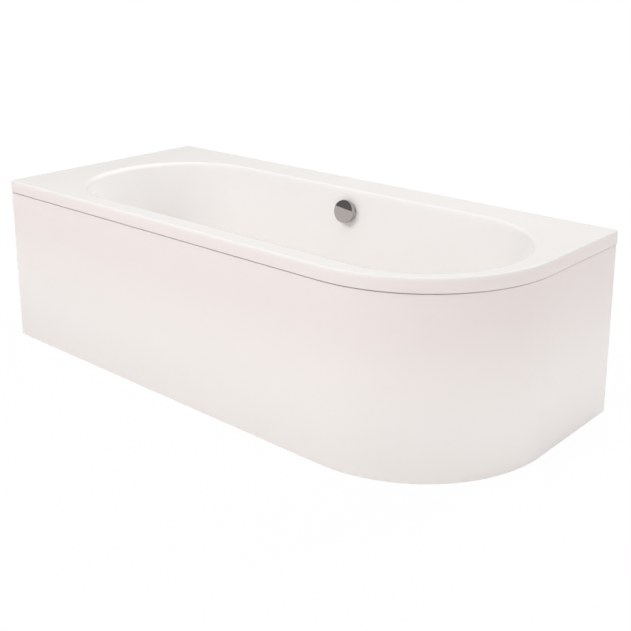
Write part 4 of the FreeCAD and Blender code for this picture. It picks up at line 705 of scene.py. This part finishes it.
class BATH_OT_shell(bpy.types.Operator):
    """Moulds the bath: ledges, skirt and basin in one sheet"""
    bl_idname = "bath.shell"
    bl_label = "Shell"

    def basin(self, sizes, top):
        """The basin from a level ring round its lip down to the waste's hole."""
        floor = top - sizes.depth

        def ring_at(height, spread=0.0):
            side = wall_inset(height, sizes.side_slope, sizes.side_floor_radius, sizes)
            end = wall_inset(height, sizes.end_slope, sizes.end_floor_radius, sizes)
            radius = sizes.half_width - side + spread
            return radius, sizes.half_length - end + spread - radius, floor + height

        heights = [sizes.depth - fall for fall in arc_falls(sizes.lip, (0, *LIP_ANGLES))]
        heights += WALL_HEIGHTS
        heights += arc_falls(sizes.side_floor_radius, FLOOR_ANGLES)
        ring = ring_at(sizes.depth, LEDGE_RING)
        bpy.ops.mesh.primitive_circle_add(vertices=sizes.ring_points, radius=ring[0],
                                          location=(BASIN_X, BASIN_Y, top),
                                          rotation=(0, 0, math.pi / sizes.ring_points))
        basin = started("acrylic_shell")
        for sign in (-1, 1):
            pick("VERT", lambda point: sign * (point.x - BASIN_X) > 0)
            shift(x=sign * ring[1])
        pick("EDGE", lambda point: True)
        for height in heights:
            ring = next_ring(ring, ring_at(height))
        next_ring(ring, (WASTE_HOLE_RADIUS, 0, floor))
        for x in DIVISIONS:
            for sign in (-1, 1):
                cut_across((BASIN_X + sign * x, 0, 0), (1, 0, 0))
        object_mode()
        return basin

    def rim(self, sizes, low, high):
        """The skirt and the ledges' edge, as a plate that is drawn up and rounded."""
        width, depth = high[0] - low[0], high[1] - low[1]
        bpy.ops.mesh.primitive_plane_add(size=1, location=(0, 0, high[2] - sizes.skirt))
        bpy.context.object.scale = (width, depth, 1)
        rim = started("acrylic_rim")
        pick("VERT", lambda point: point.x > 0 and point.y < 0)
        round_off(sizes.corner_radius, 72)
        pick("VERT", lambda point: (abs(abs(point.x) - width / 2) < NEAR
                                    and abs(abs(point.y) - depth / 2) < NEAR))
        round_off(sizes.square_radius, 6)
        pick("FACE", lambda middle, normal: True)
        draw_out(z=sizes.skirt - sizes.rim_edge)
        inset = rise = 0.0
        for angle in map(math.radians, range(15, 91, 15)):
            new_inset, new_rise = 1 - math.cos(angle), math.sin(angle)
            bpy.ops.mesh.inset(thickness=sizes.rim_edge * (new_inset - inset))
            shift(z=sizes.rim_edge * (new_rise - rise))
            inset, rise = new_inset, new_rise
        bpy.ops.mesh.inset(thickness=RIM_RING)
        bpy.ops.mesh.delete(type="ONLY_FACE")
        pick("FACE", lambda middle, normal: abs(normal.z) > 0.9
             and middle.z < high[2] - sizes.skirt + 0.001)
        bpy.ops.mesh.delete(type="ONLY_FACE")
        object_mode()
        return rim

    def sheet(self, top, pieces):
        """Rim and basin as one sheet, with the ledges filled in and the front upwards."""
        shell = join("acrylic_shell", pieces)
        edit(shell)
        choose("EDGE", lambda edge: edge.is_boundary and ends_pass(
            edge, lambda point: abs(point.z - top) < NEAR))
        bpy.ops.mesh.fill(use_beauty=False)
        close_up(shell)
        ledge = min(shell.data.polygons,
                    key=lambda face: (face.center - Vector((0, LEDGE_Y, top))).length)
        if ledge.normal.z < 0:
            edit(shell)
            bpy.ops.mesh.flip_normals()
            object_mode()
        return shell

    def execute(self, context):
        sizes = context.scene.bath_shell
        low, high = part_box("bath_shell")
        top, bottom = high[2], high[2] - sizes.skirt
        shell = self.sheet(top, [self.basin(sizes, top), self.rim(sizes, low, high)])
        for slot in ("white_acrylic", "backing", "skirt"):
            shell.data.materials.append(FINISHES[slot])
        front, back, skirt = range(3)
        modify(shell, "SOLIDIFY", thickness=sizes.thickness, offset=-1.0,
               material_offset=back)
        bpy.ops.mesh.primitive_cylinder_add(vertices=96, radius=sizes.overflow_hole,
                                            depth=0.06)
        combine(shell, "DIFFERENCE", on_overflow(bpy.context.object))
        edit(shell)
        choose("EDGE", lambda edge: ends_pass(
            edge, lambda point: abs(point.z - bottom) < 2 * NEAR)
            and min(abs(face.normal.z) for face in edge.link_faces) < 0.5)
        round_off(sizes.skirt_edge, 3, "EDGES")
        object_mode()
        # Faces within the skirt's band of the outline take the skirt's finish, whose darker,
        # pinker foot is painted shade.
        turn_x, turn_y = high[0] - sizes.corner_radius, low[1] + sizes.corner_radius
        for face in shell.data.polygons:
            x, y, _ = face.center
            inset = min(x - low[0], high[0] - x, y - low[1], high[1] - y)
            if x > turn_x and y < turn_y:
                inset = sizes.corner_radius - math.hypot(x - turn_x, y - turn_y)
            if inset < sizes.skirt_shade_band and face.material_index == front:
                face.material_index = skirt
        finish(shell, "bath", "white_acrylic", "bath_shell", angle=40)
        return {"FINISHED"}


# ---- the panel

class BATH_OT_panel(bpy.types.Operator):
    """Bends the panel: one sheet with a flange, round the large corner"""
    bl_idname = "bath.panel"
    bl_label = "Panel"

    def execute(self, context):
        sizes, radius = context.scene.bath_panel, context.scene.bath_shell.corner_radius
        (left, front, _), (right, back, top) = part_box("bath_panel")
        inner, under = front + sizes.thickness, top - sizes.thickness
        bpy.ops.mesh.primitive_plane_add(size=1, rotation=(0, math.pi / 2, 0),
                                         location=(left, front + sizes.thickness / 2,
                                                   top / 2))
        bpy.context.object.scale = (top, sizes.thickness, 1)
        panel = started("wrapped_panel")
        cut_across((left, front, under), (0, 0, 1))
        pick("EDGE", lambda point: point.z > under - NEAR and abs(point.y - inner) < NEAR)
        draw_out(y=sizes.flange - sizes.thickness)
        pick("VERT", lambda point: abs(point.z - top) < NEAR
             and abs(point.y - front) < NEAR)
        round_off(sizes.edge, 5)
        pick("VERT", lambda point: point.z < NEAR)
        round_off(sizes.foot_edge, 2)
        pick("FACE", lambda middle, normal: True)
        turn_x = right + sizes.setback - radius
        turn_y = front - sizes.setback + radius
        draw_out(x=turn_x - left)
        bpy.ops.mesh.spin(steps=sizes.curve_steps, angle=-math.pi / 2,
                          center=(turn_x, turn_y, 0), axis=(0, 0, 1))
        draw_out(y=back - turn_y)
        close_up(panel)
        # The panel's finish has painted light low down and painted shade high up.
        panel.data.materials.append(FINISHES["panel"])
        finish(panel, "panel", "white_acrylic", "bath_panel", angle=35)
        return {"FINISHED"}


# ---- the knob and the plug

class BATH_OT_knob(bpy.types.Operator):
    """Turns the overflow's knob, with a grip cut into the upper part of its face"""
    bl_idname = "bath.knob"
    bl_label = "Knob"

    def execute(self, context):
        sizes = context.scene.bath_waste
        back = sizes.knob_stand_off
        face = back + sizes.knob_depth
        radius, wall, edge = sizes.knob_radius, sizes.knob_wall, sizes.knob_edge
        bore, hub, break_edge = 0.0042, 0.008, 0.0006
        profile = [(bore, back + 0.001), (hub, back + 0.001), (hub, face - wall),
                   (radius - wall, face - 2.4 * wall), (radius - wall, back + 0.0004),
                   (radius - wall + break_edge, back), (radius - break_edge, back),
                   (radius, back + break_edge)]
        profile += rounding(radius - edge, face - edge, edge, (0, 30, 60, 90))
        profile += [(radius - 0.004, face), (AXIS, face)]
        knob = turned("turning_knob", profile, 128)
        start = sizes.grip_start
        fall = math.atan2(sizes.grip_fall, radius - start)
        edit(knob)
        cut_across((0, start, face), (0, math.sin(fall), math.cos(fall)), drop=True)
        pick("EDGE", lambda point: abs(point.y - start) < 0.0001
             and abs(point.z - face) < 0.0001)
        round_off(sizes.grip_edge, 3, "EDGES")
        settle(knob, turn=(0, 0, sizes.knob_turned))
        finish(on_overflow(knob), "overflow_knob", "chrome", "overflow_knob")
        return {"FINISHED"}


class BATH_OT_plug(bpy.types.Operator):
    """Turns the domed plug of the waste"""
    bl_idname = "bath.plug"
    bl_label = "Plug"

    def execute(self, context):
        edge = context.scene.bath_waste.plug_edge
        low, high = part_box("waste_plug")
        radius, height = (high[0] - low[0]) / 2, high[2] - low[2]
        middle = 0.0012
        profile = [(radius - 0.001, 0), (radius - 0.0003, 0.0003), (radius, 0.001)]
        profile += rounding(radius - edge, middle, edge, (10, 25, 40, 55, 70, 90))
        for share in (0.88, 0.8, 0.7, 0.6, 0.5, 0.4, 0.3, 0.2, 0.1, 0.002):
            dome = (height - middle - edge) * (1 - (share / 0.94) ** 2)
            profile.append((radius * share, middle + edge + dome))
        plug = turned("domed_plug", profile, 96)
        settle(plug, (BASIN_X, BASIN_Y, low[2]))
        finish(plug, "waste_plug", "chrome", "waste_plug", angle=35)
        return {"FINISHED"}


# ---- the hose and the cable

# The points of each route, in metres, from the overflow to the waste.
HOSE_ROUTE = [(0.036, 0.26221, 0.403), (0.036, 0.26221, 0.17815), (0.036, 0.18606, 0.097),
              (0.036, 0.0195, 0.102)]
CABLE_ROUTE = [(0.0650, 0.2622, 0.4540), (0.1120, 0.2622, 0.4540), (0.1503, 0.2622, 0.4177),
               (0.1630, 0.2613, 0.3524), (0.1620, 0.2593, 0.2798), (0.1581, 0.2513, 0.2119),
               (0.1532, 0.2211, 0.1563), (0.1503, 0.1703, 0.1182), (0.1483, 0.1104, 0.0957),
               (0.1463, 0.0484, 0.0910), (0.1380, -0.0065, 0.0899),
               (0.1081, -0.0315, 0.0910), (0.0650, -0.0315, 0.0910)]
# Points to each step of a line, rings to each rib of the hose and rings along its bore.
HOSE_STEPS, CABLE_STEPS, RIB_RINGS, BORE_RINGS = 96, 16, 8, 60


def cord_line(name, route, steps):
    """A cord's line: a smooth curve with the route's points as its control points."""
    data = bpy.data.curves.new(name, "CURVE")
    data.dimensions = "3D"
    data.resolution_u = steps
    spline = data.splines.new("NURBS")
    spline.points.add(len(route) - 1)
    for point, place in zip(spline.points, route):
        point.co = (*place, 1)
    spline.order_u = 3
    spline.use_endpoint_u = True
    line = bpy.data.objects.new(name, data)
    bpy.context.scene.collection.objects.link(line)
    return line


def points_along(line):
    """The points that a cord's line passes, in order."""
    mesh = bpy.data.meshes.new_from_object(line)
    points = [vertex.co.copy() for vertex in mesh.vertices]
    bpy.data.meshes.remove(mesh)
    return points


def ringed_tube(name, points, stations, sides):
    """A tube about a line that keeps to one X.  Each station is a distance along the line
    and the radius of a ring there; the last ring is joined to the first."""
    reach = [0.0]
    for before, after in zip(points, points[1:]):
        reach.append(reach[-1] + (after - before).length)
    mesh = bmesh.new()
    rings = []
    across = Vector((1, 0, 0))
    for distance, radius in stations:
        distance = min(max(distance, 0.0), reach[-1])
        i = max(j for j in range(len(points) - 1) if reach[j] <= distance)
        along = (points[i + 1] - points[i]).normalized()
        centre = points[i] + along * (distance - reach[i])
        upright = along.cross(across)
        rings.append([mesh.verts.new(centre + radius * (math.cos(turn) * across
                                                        + math.sin(turn) * upright))
                      for turn in (2 * math.pi * j / sides for j in range(sides))])
    for ring, following in zip(rings, rings[1:] + rings[:1]):
        for i in range(sides):
            j = (i + 1) % sides
            mesh.faces.new((ring[i], ring[j], following[j], following[i]))
    data = bpy.data.meshes.new(name)
    mesh.to_mesh(data)
    mesh.free()
    tube = bpy.data.objects.new(name, data)
    bpy.context.scene.collection.objects.link(tube)
    close_up(tube, 0.1 * NEAR)
    return tube


class BATH_OT_hose(bpy.types.Operator):
    """Moulds the ribbed overflow hose along its line"""
    bl_idname = "bath.hose"
    bl_label = "Overflow Hose"

    def execute(self, context):
        sizes = context.scene.bath_plumbing
        line = cord_line("hose_line", HOSE_ROUTE, HOSE_STEPS)
        points = points_along(line)
        bpy.data.objects.remove(line)
        reach = sum((b - a).length for a, b in zip(points, points[1:]))
        crest, valley, pitch = sizes.hose_crest, sizes.hose_valley, sizes.rib_pitch
        ribs = int((reach - 2 * sizes.cuff) // pitch)
        first = (reach - ribs * pitch) / 2
        cuff = [0.0, 0.010, first - pitch / 2]
        stations = [(distance, crest) for distance in cuff]
        for i in range(ribs * RIB_RINGS + 1):
            swell = (1 - math.cos(2 * math.pi * i / RIB_RINGS)) / 2
            stations.append((first + i * pitch / RIB_RINGS,
                             valley + (crest - valley) * swell ** 0.8))
        stations += [(reach - distance, crest) for distance in reversed(cuff)]
        stations += [(reach * (1 - i / BORE_RINGS), sizes.hose_bore)
                     for i in range(BORE_RINGS + 1)]
        hose = ringed_tube("ribbed_hose", points, stations, 48)
        finish(hose, "bath", "grey_hose", "overflow_hose", angle=60)
        return {"FINISHED"}


class BATH_OT_cable(bpy.types.Operator):
    """Runs the control cable from the overflow's drum to the waste"""
    bl_idname = "bath.cable"
    bl_label = "Control Cable"

    def execute(self, context):
        sizes = context.scene.bath_plumbing
        cable = cord_line("sleeved_cable", CABLE_ROUTE, CABLE_STEPS)
        cable.data.bevel_depth = sizes.cable_diameter / 2
        cable.data.bevel_resolution = 5
        cable.data.use_fill_caps = True
        finish(cable, "bath", "black_sleeve", "control_cable")
        return {"FINISHED"}


# ---- nuts and caps with grips

TOWARD_BACK = (-math.pi / 2, 0, 0)
DOWNWARD = (math.pi, 0, 0)
# How far a nut's grips keep from its open end and from its lip.
GRIP_START, GRIP_END = 0.001, 0.0025


def raise_grips(piece, count, share, rise, low, high):
    """Raises ribs round the outside of a turned piece, between two heights."""
    def on_rib(middle, normal):
        outward = middle.x * normal.x + middle.y * normal.y
        turn = math.atan2(middle.y, middle.x) / (2 * math.pi) * count
        return (abs(normal.z) < 0.3 and outward > 0 and low < middle.z < high
                and turn % 1 < share)
    edit(piece)
    pick("FACE", on_rib)
    bpy.ops.mesh.extrude_region_move()
    mesh = bmesh.from_edit_mesh(piece.data)
    radius = max(math.hypot(v.co.x, v.co.y) for v in mesh.verts if v.select)
    factor = (radius + rise) / radius
    stretch(factor, factor, 1, (0, 0, 0))
    object_mode()


def barrel(outer, length, bore, lip_bore, lip, edge=0.0012, grooves=2):
    """The closed profile of a nut: a bore from its open end to an inward lip."""
    profile = [(bore, 0), (outer - edge, 0), (outer, edge)]
    profile += [(outer, length * (i + 1) / (grooves + 2)) for i in range(grooves)]
    profile += [(outer, length - 2 * edge), (outer - edge, length - 0.3 * edge),
                (outer - 2 * edge, length), (lip_bore, length), (lip_bore, length - lip),
                (bore, length - lip), (bore, 0)]
    return profile


class BATH_OT_nuts(bpy.types.Operator):
    """Turns the hose nuts, the trap's nuts and its cleaning cap, with grips"""
    bl_idname = "bath.nuts"
    bl_label = "Nuts"

    def gripped(self, node, name, middle, turn, profile, count, share, rise, low, high):
        """Turns a nut with grips, and stands it where its node starts."""
        nut = turned(name, profile, count * 8)
        raise_grips(nut, count, share, rise, low, high)
        soften(nut, 0.0004, 2, 50)
        x, y, z = middle
        start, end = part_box(node)
        settle(nut, (x, y, end[2]) if turn == DOWNWARD else (x, start[1], z), turn)
        finish(nut, "bath", "grey_plastic", node, angle=40)

    def execute(self, context):
        for node, name, turn in (("hose_upper_nut", "upper_hose_nut", DOWNWARD),
                                 ("hose_lower_nut", "lower_hose_nut", TOWARD_BACK)):
            low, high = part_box(node)
            outer, length, rise = (high[0] - low[0]) / 2, 0.020, 0.0008
            self.gripped(node, name, middle_of(node), turn,
                         barrel(outer - rise, length, bore=0.017, lip_bore=0.016, lip=0.007),
                         24, 0.5, rise, GRIP_START, length - GRIP_END)

        low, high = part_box("trap_inlet_nut")
        outer, length, rise = (high[0] - low[0]) / 2, high[2] - low[2], 0.002
        for node, name, middle, turn, bore, lip_bore in (
                ("trap_inlet_nut", "inlet_union_nut", (BASIN_X, BASIN_Y, 0), DOWNWARD,
                 0.024, 0.0229),
                ("trap_outlet_nut", "outlet_union_nut", middle_of("trap_outlet_nut"),
                 TOWARD_BACK, 0.0243, 0.0203)):
            self.gripped(node, name, middle, turn,
                         barrel(outer - rise, length, bore, lip_bore, lip=0.003),
                         12, 0.375, rise, GRIP_START, length - GRIP_END)

        low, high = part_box("trap_cleaning_cap")
        outer, depth, end, rise = (high[0] - low[0]) / 2, high[1] - low[1], 0.004, 0.001
        profile = [(AXIS, 0), (outer - 0.0075, 0), (outer - 0.0065, 0.0008),
                   (outer - 0.0035, 0.0008), (outer - 0.0025, 0), (outer - 0.0022, 0),
                   (outer - rise, 0.0012), (outer - rise, depth / 2),
                   (outer - rise, depth), (0.013, depth), (0.013, end), (AXIS, end)]
        self.gripped("trap_cleaning_cap", "cleaning_cap", middle_of("trap_cleaning_cap"),
                     TOWARD_BACK, profile, 24, 0.5, rise, 0.0015, depth - 0.0005)
        return {"FINISHED"}


# ---- the feet

# The levels at which each foot's two lock nuts start.
SIDE_NUTS, CENTRE_NUTS = (0.120, 0.110), (0.082, 0.072)
FOOT_NUTS = {"front_left_foot": SIDE_NUTS, "back_left_foot": SIDE_NUTS,
             "front_right_foot": SIDE_NUTS, "back_right_foot": SIDE_NUTS,
             "centre_foot": CENTRE_NUTS}


class BATH_OT_feet(bpy.types.Operator):
    """Makes the levelling feet: ribbed pads, threaded studs and lock nuts"""
    bl_idname = "bath.feet"
    bl_label = "Feet"

    def pad(self, sizes):
        """A moulded pad: a flat rim, a low cone with webs and a hub with a grip."""
        radius, height, seat = sizes.pad_radius, sizes.pad_height, sizes.pad_seat
        hub, socket = 0.0110, 0.0052
        profile = [(AXIS, 0), (radius - 0.0015, 0), (radius - 0.0004, 0.0004),
                   (radius, 0.0015), (radius, 0.0046), (radius - 0.0004, 0.0056),
                   (radius - 0.0014, 0.006), (radius - 0.003, 0.0062), (0.0125, 0.0094),
                   (0.0112, 0.0102), (hub, 0.0115), (hub, height - 0.001),
                   (hub - 0.001, height), (socket + 0.001, height),
                   (socket, height - 0.001), (socket, seat), (AXIS, seat)]
        pad = turned("foot_pad", profile, 96)
        edit(pad)
        pick("FACE", lambda middle, normal: 0.006 < middle.z < 0.0095 and normal.z > 0.8
             and 0.013 < math.hypot(middle.x, middle.y) < radius - 0.003
             and (math.atan2(middle.y, middle.x) / math.pi * 4 + 0.09) % 1 < 0.18)
        draw_out(z=sizes.web_rise)
        raise_grips(pad, 12, 0.5, 0.0007, 0.011, height - 0.0008)
        soften(pad, 0.0003, 1, 55)
        return pad

    def stud(self, sizes, length):
        """A threaded stud: one turn of the thread's section, wound up by a screw and cut
        square at both ends."""
        depth, pitch = sizes.thread_depth, sizes.thread_pitch
        start = 1.5 * pitch
        bpy.ops.mesh.primitive_plane_add(size=0.001,
                                         location=(sizes.stud_radius - depth, 0, 0))
        stud = started("foot_stud")
        bpy.ops.mesh.select_mode(type="VERT")
        bpy.ops.mesh.merge(type="CENTER")
        for out, rise in ((depth, 0.42), (0, 0.12), (-depth, 0.42), (0, 0.04)):
            draw_out(x=out, z=rise * pitch)
        modify(stud, "SCREW", screw_offset=pitch, iterations=int(length / pitch) + 3,
               steps=20, render_steps=20, use_merge_vertices=False)
        close_up(stud)
        edit(stud)
        for level, side in ((start, -1), (start + length, 1)):
            cut_across((0, 0, level), (0, 0, side), drop=True)
        close_up(stud, 10 * NEAR)
        return settle(stud, (0, 0, -start))

    def lock_nut(self, sizes):
        """A hexagon nut with its corners chamfered at both ends."""
        height, flats = sizes.nut_height, sizes.nut_flats
        corner, face = flats / math.sqrt(3), flats * 0.394
        bore, mouth, past = 0.0052, 0.0062, 0.001
        bpy.ops.mesh.primitive_cylinder_add(vertices=6, radius=corner, depth=height,
                                            location=(0, 0, height / 2),
                                            rotation=(0, 0, math.pi / 6))
        nut = started("lock_nut")
        object_mode()
        combine(nut, "INTERSECT", turned("chamfer", [
            (AXIS, -past), (face, -past), (corner * 1.02, 0.0014),
            (corner * 1.02, height - 0.0014), (face, height + past),
            (AXIS, height + past)], 96))
        combine(nut, "DIFFERENCE", turned("bore", [
            (AXIS, -past), (mouth, -past), (mouth, 0), (bore, 0.001),
            (bore, height - 0.001), (mouth, height), (mouth, height + past),
            (AXIS, height + past)], 48))
        close_up(nut)
        return nut

    def execute(self, context):
        sizes = context.scene.bath_feet
        first_pad, studs = self.pad(sizes), {}
        for foot in FOOT_NUTS:
            low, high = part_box(foot + "_stud")
            x, y, _ = middle_of(foot + "_stud")
            length = round(high[2] - low[2], 4)
            if length not in studs:
                studs[length] = self.stud(sizes, length)
            stud = copied(foot + "_threaded_stud", studs[length], x, y, low[2])
            finish(stud, foot, "zinc_steel", foot + "_stud", angle=35)
            pad = copied(foot + "_moulded_pad", first_pad, x, y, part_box(foot + "_pad")[0][2])
            finish(pad, foot, "black_plastic", foot + "_pad", angle=35)
        first_nut = self.lock_nut(sizes)
        nuts = [copied("nut", first_nut, *middle_of(foot + "_stud")[:2], level)
                for foot, levels in FOOT_NUTS.items() for level in levels]
        for spare in (first_pad, first_nut, *studs.values()):
            bpy.data.objects.remove(spare)
        finish(join("lock_nuts", nuts), "bath", "zinc_steel", "foot_lock_nuts")
        return {"FINISHED"}


# ---- the stage

# Each soft light: its name, place, aim, width and height, and power.
LAMPS = [
    ("overhead", (0.0, 0.0, 3.4), (0.0, 0.0, 0.5), (5.0, 4.0), 30),
    ("front high", (-1.0, -3.0, 3.2), (0.0, -0.3, 0.3), (3.0, 1.6), 91),
    ("front right", (2.4, -3.0, 1.2), (0.5, -0.2, 0.25), (2.4, 1.6), 21),
    ("right", (3.6, 0.3, 0.9), (0.8, 0.0, 0.25), (2.4, 1.4), 20),
    ("back", (0.0, 3.0, 2.8), (0.0, 0.2, 0.5), (3.4, 1.6), 100),
]
# The floor is nearly clean white round the bath, where it still takes its shadow, and fades
# to pure white between two distances.
NEAR_WHITE, FADE_FROM, FADE_TO = 0.96, 1.2, 3.0
# In reflections the walls turn into the ceiling between two heights of the gaze, as sines.
WALLS_TO, CEILING_FROM = 0.34, 0.75
# The width of the camera's sensor, in millimetres.
SENSOR = 36


class BATH_OT_stage(bpy.types.Operator):
    """Sets the floor, the light and the camera"""
    bl_idname = "bath.stage"
    bl_label = "Stage"

    def floor(self):
        """White paper that takes a faint shadow and has no horizon."""
        bpy.ops.mesh.primitive_plane_add(size=30, location=(0, 0, -0.0005))
        floor = bpy.context.object
        floor.name = "studio_floor"
        paper = bpy.data.materials.new("white paper")
        paper.use_nodes = True
        paper.cycles.emission_sampling = "NONE"
        tree = paper.node_tree
        shader = tree.nodes["Principled BSDF"]
        shader.inputs["Base Color"].default_value = (0.86, 0.86, 0.86, 1)
        shader.inputs["Roughness"].default_value = 0.9
        shader.inputs["Specular IOR Level"].default_value = 0.1
        rays = add_node(tree, "LightPath")
        bright = add_node(tree, "Emission")
        mix = add_node(tree, "MixShader")
        place = add_node(tree, "TexCoord")
        away = add_node(tree, "VectorMath", operation="LENGTH")
        clean = add_node(tree, "MapRange", interpolation_type="SMOOTHSTEP", To_Max=1.0,
                         From_Min=FADE_FROM, From_Max=FADE_TO, To_Min=NEAR_WHITE)
        seen = add_node(tree, "Math", operation="MAXIMUM")
        share = add_node(tree, "Math", operation="MULTIPLY")
        wire(tree, (place, "Object", away, 0), (away, "Value", clean, "Value"),
             (rays, "Is Camera Ray", seen, 0), (rays, "Is Glossy Ray", seen, 1),
             (seen, 0, share, 0), (clean, "Result", share, 1), (share, 0, mix, 0),
             (shader, 0, mix, 1), (bright, 0, mix, 2),
             (mix, 0, tree.nodes["Material Output"], "Surface"))
        floor.data.materials.append(paper)

    def world(self, context, sizes):
        """An even light, seen as white, and in reflections as walls under a ceiling."""
        world = bpy.data.worlds.new("studio")
        context.scene.world = world
        world.use_nodes = True
        tree = world.node_tree
        background = tree.nodes["Background"]
        background.inputs["Color"].default_value = WHITE
        rays = add_node(tree, "LightPath")
        toward = add_node(tree, "TexCoord")
        parts = add_node(tree, "SeparateXYZ")
        walls = add_node(tree, "MapRange", interpolation_type="SMOOTHSTEP", To_Max=1.0,
                         From_Min=WALLS_TO, From_Max=CEILING_FROM, To_Min=sizes.wall_tone)
        mirrored, seen = (add_node(tree, "Mix", data_type="FLOAT") for _ in range(2))
        mirrored.inputs[VALUE_A].default_value = sizes.sky
        seen.inputs[VALUE_B].default_value = 1.0
        wire(tree, (toward, "Generated", parts, 0), (parts, "Z", walls, "Value"),
             (rays, "Is Glossy Ray", mirrored, 0), (walls, "Result", mirrored, VALUE_B),
             (rays, "Is Camera Ray", seen, 0), (mirrored, 0, seen, VALUE_A),
             (seen, 0, background, "Strength"))

    def lamps(self):
        """Soft lights that don't show in reflections."""
        for name, place, aim, size, power in LAMPS:
            bpy.ops.object.light_add(type="AREA", location=place)
            lamp = bpy.context.object
            lamp.name = name
            lamp.data.shape = "RECTANGLE"
            lamp.data.size, lamp.data.size_y = size
            lamp.data.energy = power
            lamp.visible_glossy = False
            toward = Vector(aim) - Vector(place)
            lamp.rotation_euler = toward.to_track_quat("-Z", "Y").to_euler()

    def camera(self, context, sizes):
        """The photo's camera."""
        data = bpy.data.cameras.new("photo camera")
        camera = bpy.data.objects.new("photo camera", data)
        context.scene.collection.objects.link(camera)
        data.sensor_width = SENSOR
        data.lens = sizes.focal_pixels / sizes.picture * SENSOR
        data.shift_y = sizes.centre_row / sizes.picture - 0.5
        data.clip_end = 60
        camera.location = sizes.camera_place
        camera.rotation_euler = (math.pi / 2 + sizes.camera_pitch, 0, sizes.camera_yaw)
        context.scene.camera = camera
        context.scene.view_settings.view_transform = "Standard"

    def execute(self, context):
        sizes = context.scene.bath_stage
        self.floor()
        self.world(context, sizes)
        self.lamps()
        self.camera(context, sizes)
        return {"FINISHED"}


# ---- the panel in the sidebar

class BATH_PT_pieces(bpy.types.Panel):
    """Lists the pieces of the bath and their sizes"""
    bl_idname = "BATH_PT_pieces"
    bl_label = "Corner Bathtub"
    bl_space_type = "VIEW_3D"
    bl_region_type = "UI"
    bl_category = "Bathtub"

    def draw(self, context):
        for kind in PIECES:
            self.layout.operator(kind.bl_idname)
        for name in PROPERTIES:
            group = getattr(context.scene, name)
            box = self.layout.box()
            for field in group.bl_rna.properties:
                if field.identifier not in ("rna_type", "name"):
                    box.prop(group, field.identifier)


PROPERTIES = {"bath_shell": ShellSizes, "bath_panel": PanelSizes, "bath_waste": WasteSizes,
              "bath_plumbing": PlumbingSizes, "bath_feet": FootSizes,
              "bath_finish": FinishColours, "bath_stage": StageSizes}
PIECES = [BATH_OT_finishes, BATH_OT_frame_finishes, BATH_OT_shell, BATH_OT_panel,
          BATH_OT_knob, BATH_OT_plug, BATH_OT_hose, BATH_OT_cable, BATH_OT_nuts,
          BATH_OT_feet, BATH_OT_stage]
CLASSES = [*PROPERTIES.values(), *PIECES, BATH_PT_pieces]


def register():
    for kind in CLASSES:
        bpy.utils.register_class(kind)
    for name, kind in PROPERTIES.items():
        setattr(bpy.types.Scene, name, bpy.props.PointerProperty(type=kind))


def unregister():
    for name in PROPERTIES:
        delattr(bpy.types.Scene, name)
    for kind in reversed(CLASSES):
        bpy.utils.unregister_class(kind)


def main():
    register()
    for kind in PIECES:
        clear_selection()
        family, step = kind.bl_idname.split(".")
        getattr(getattr(bpy.ops, family), step)()


if __name__ == "__main__":
    main()
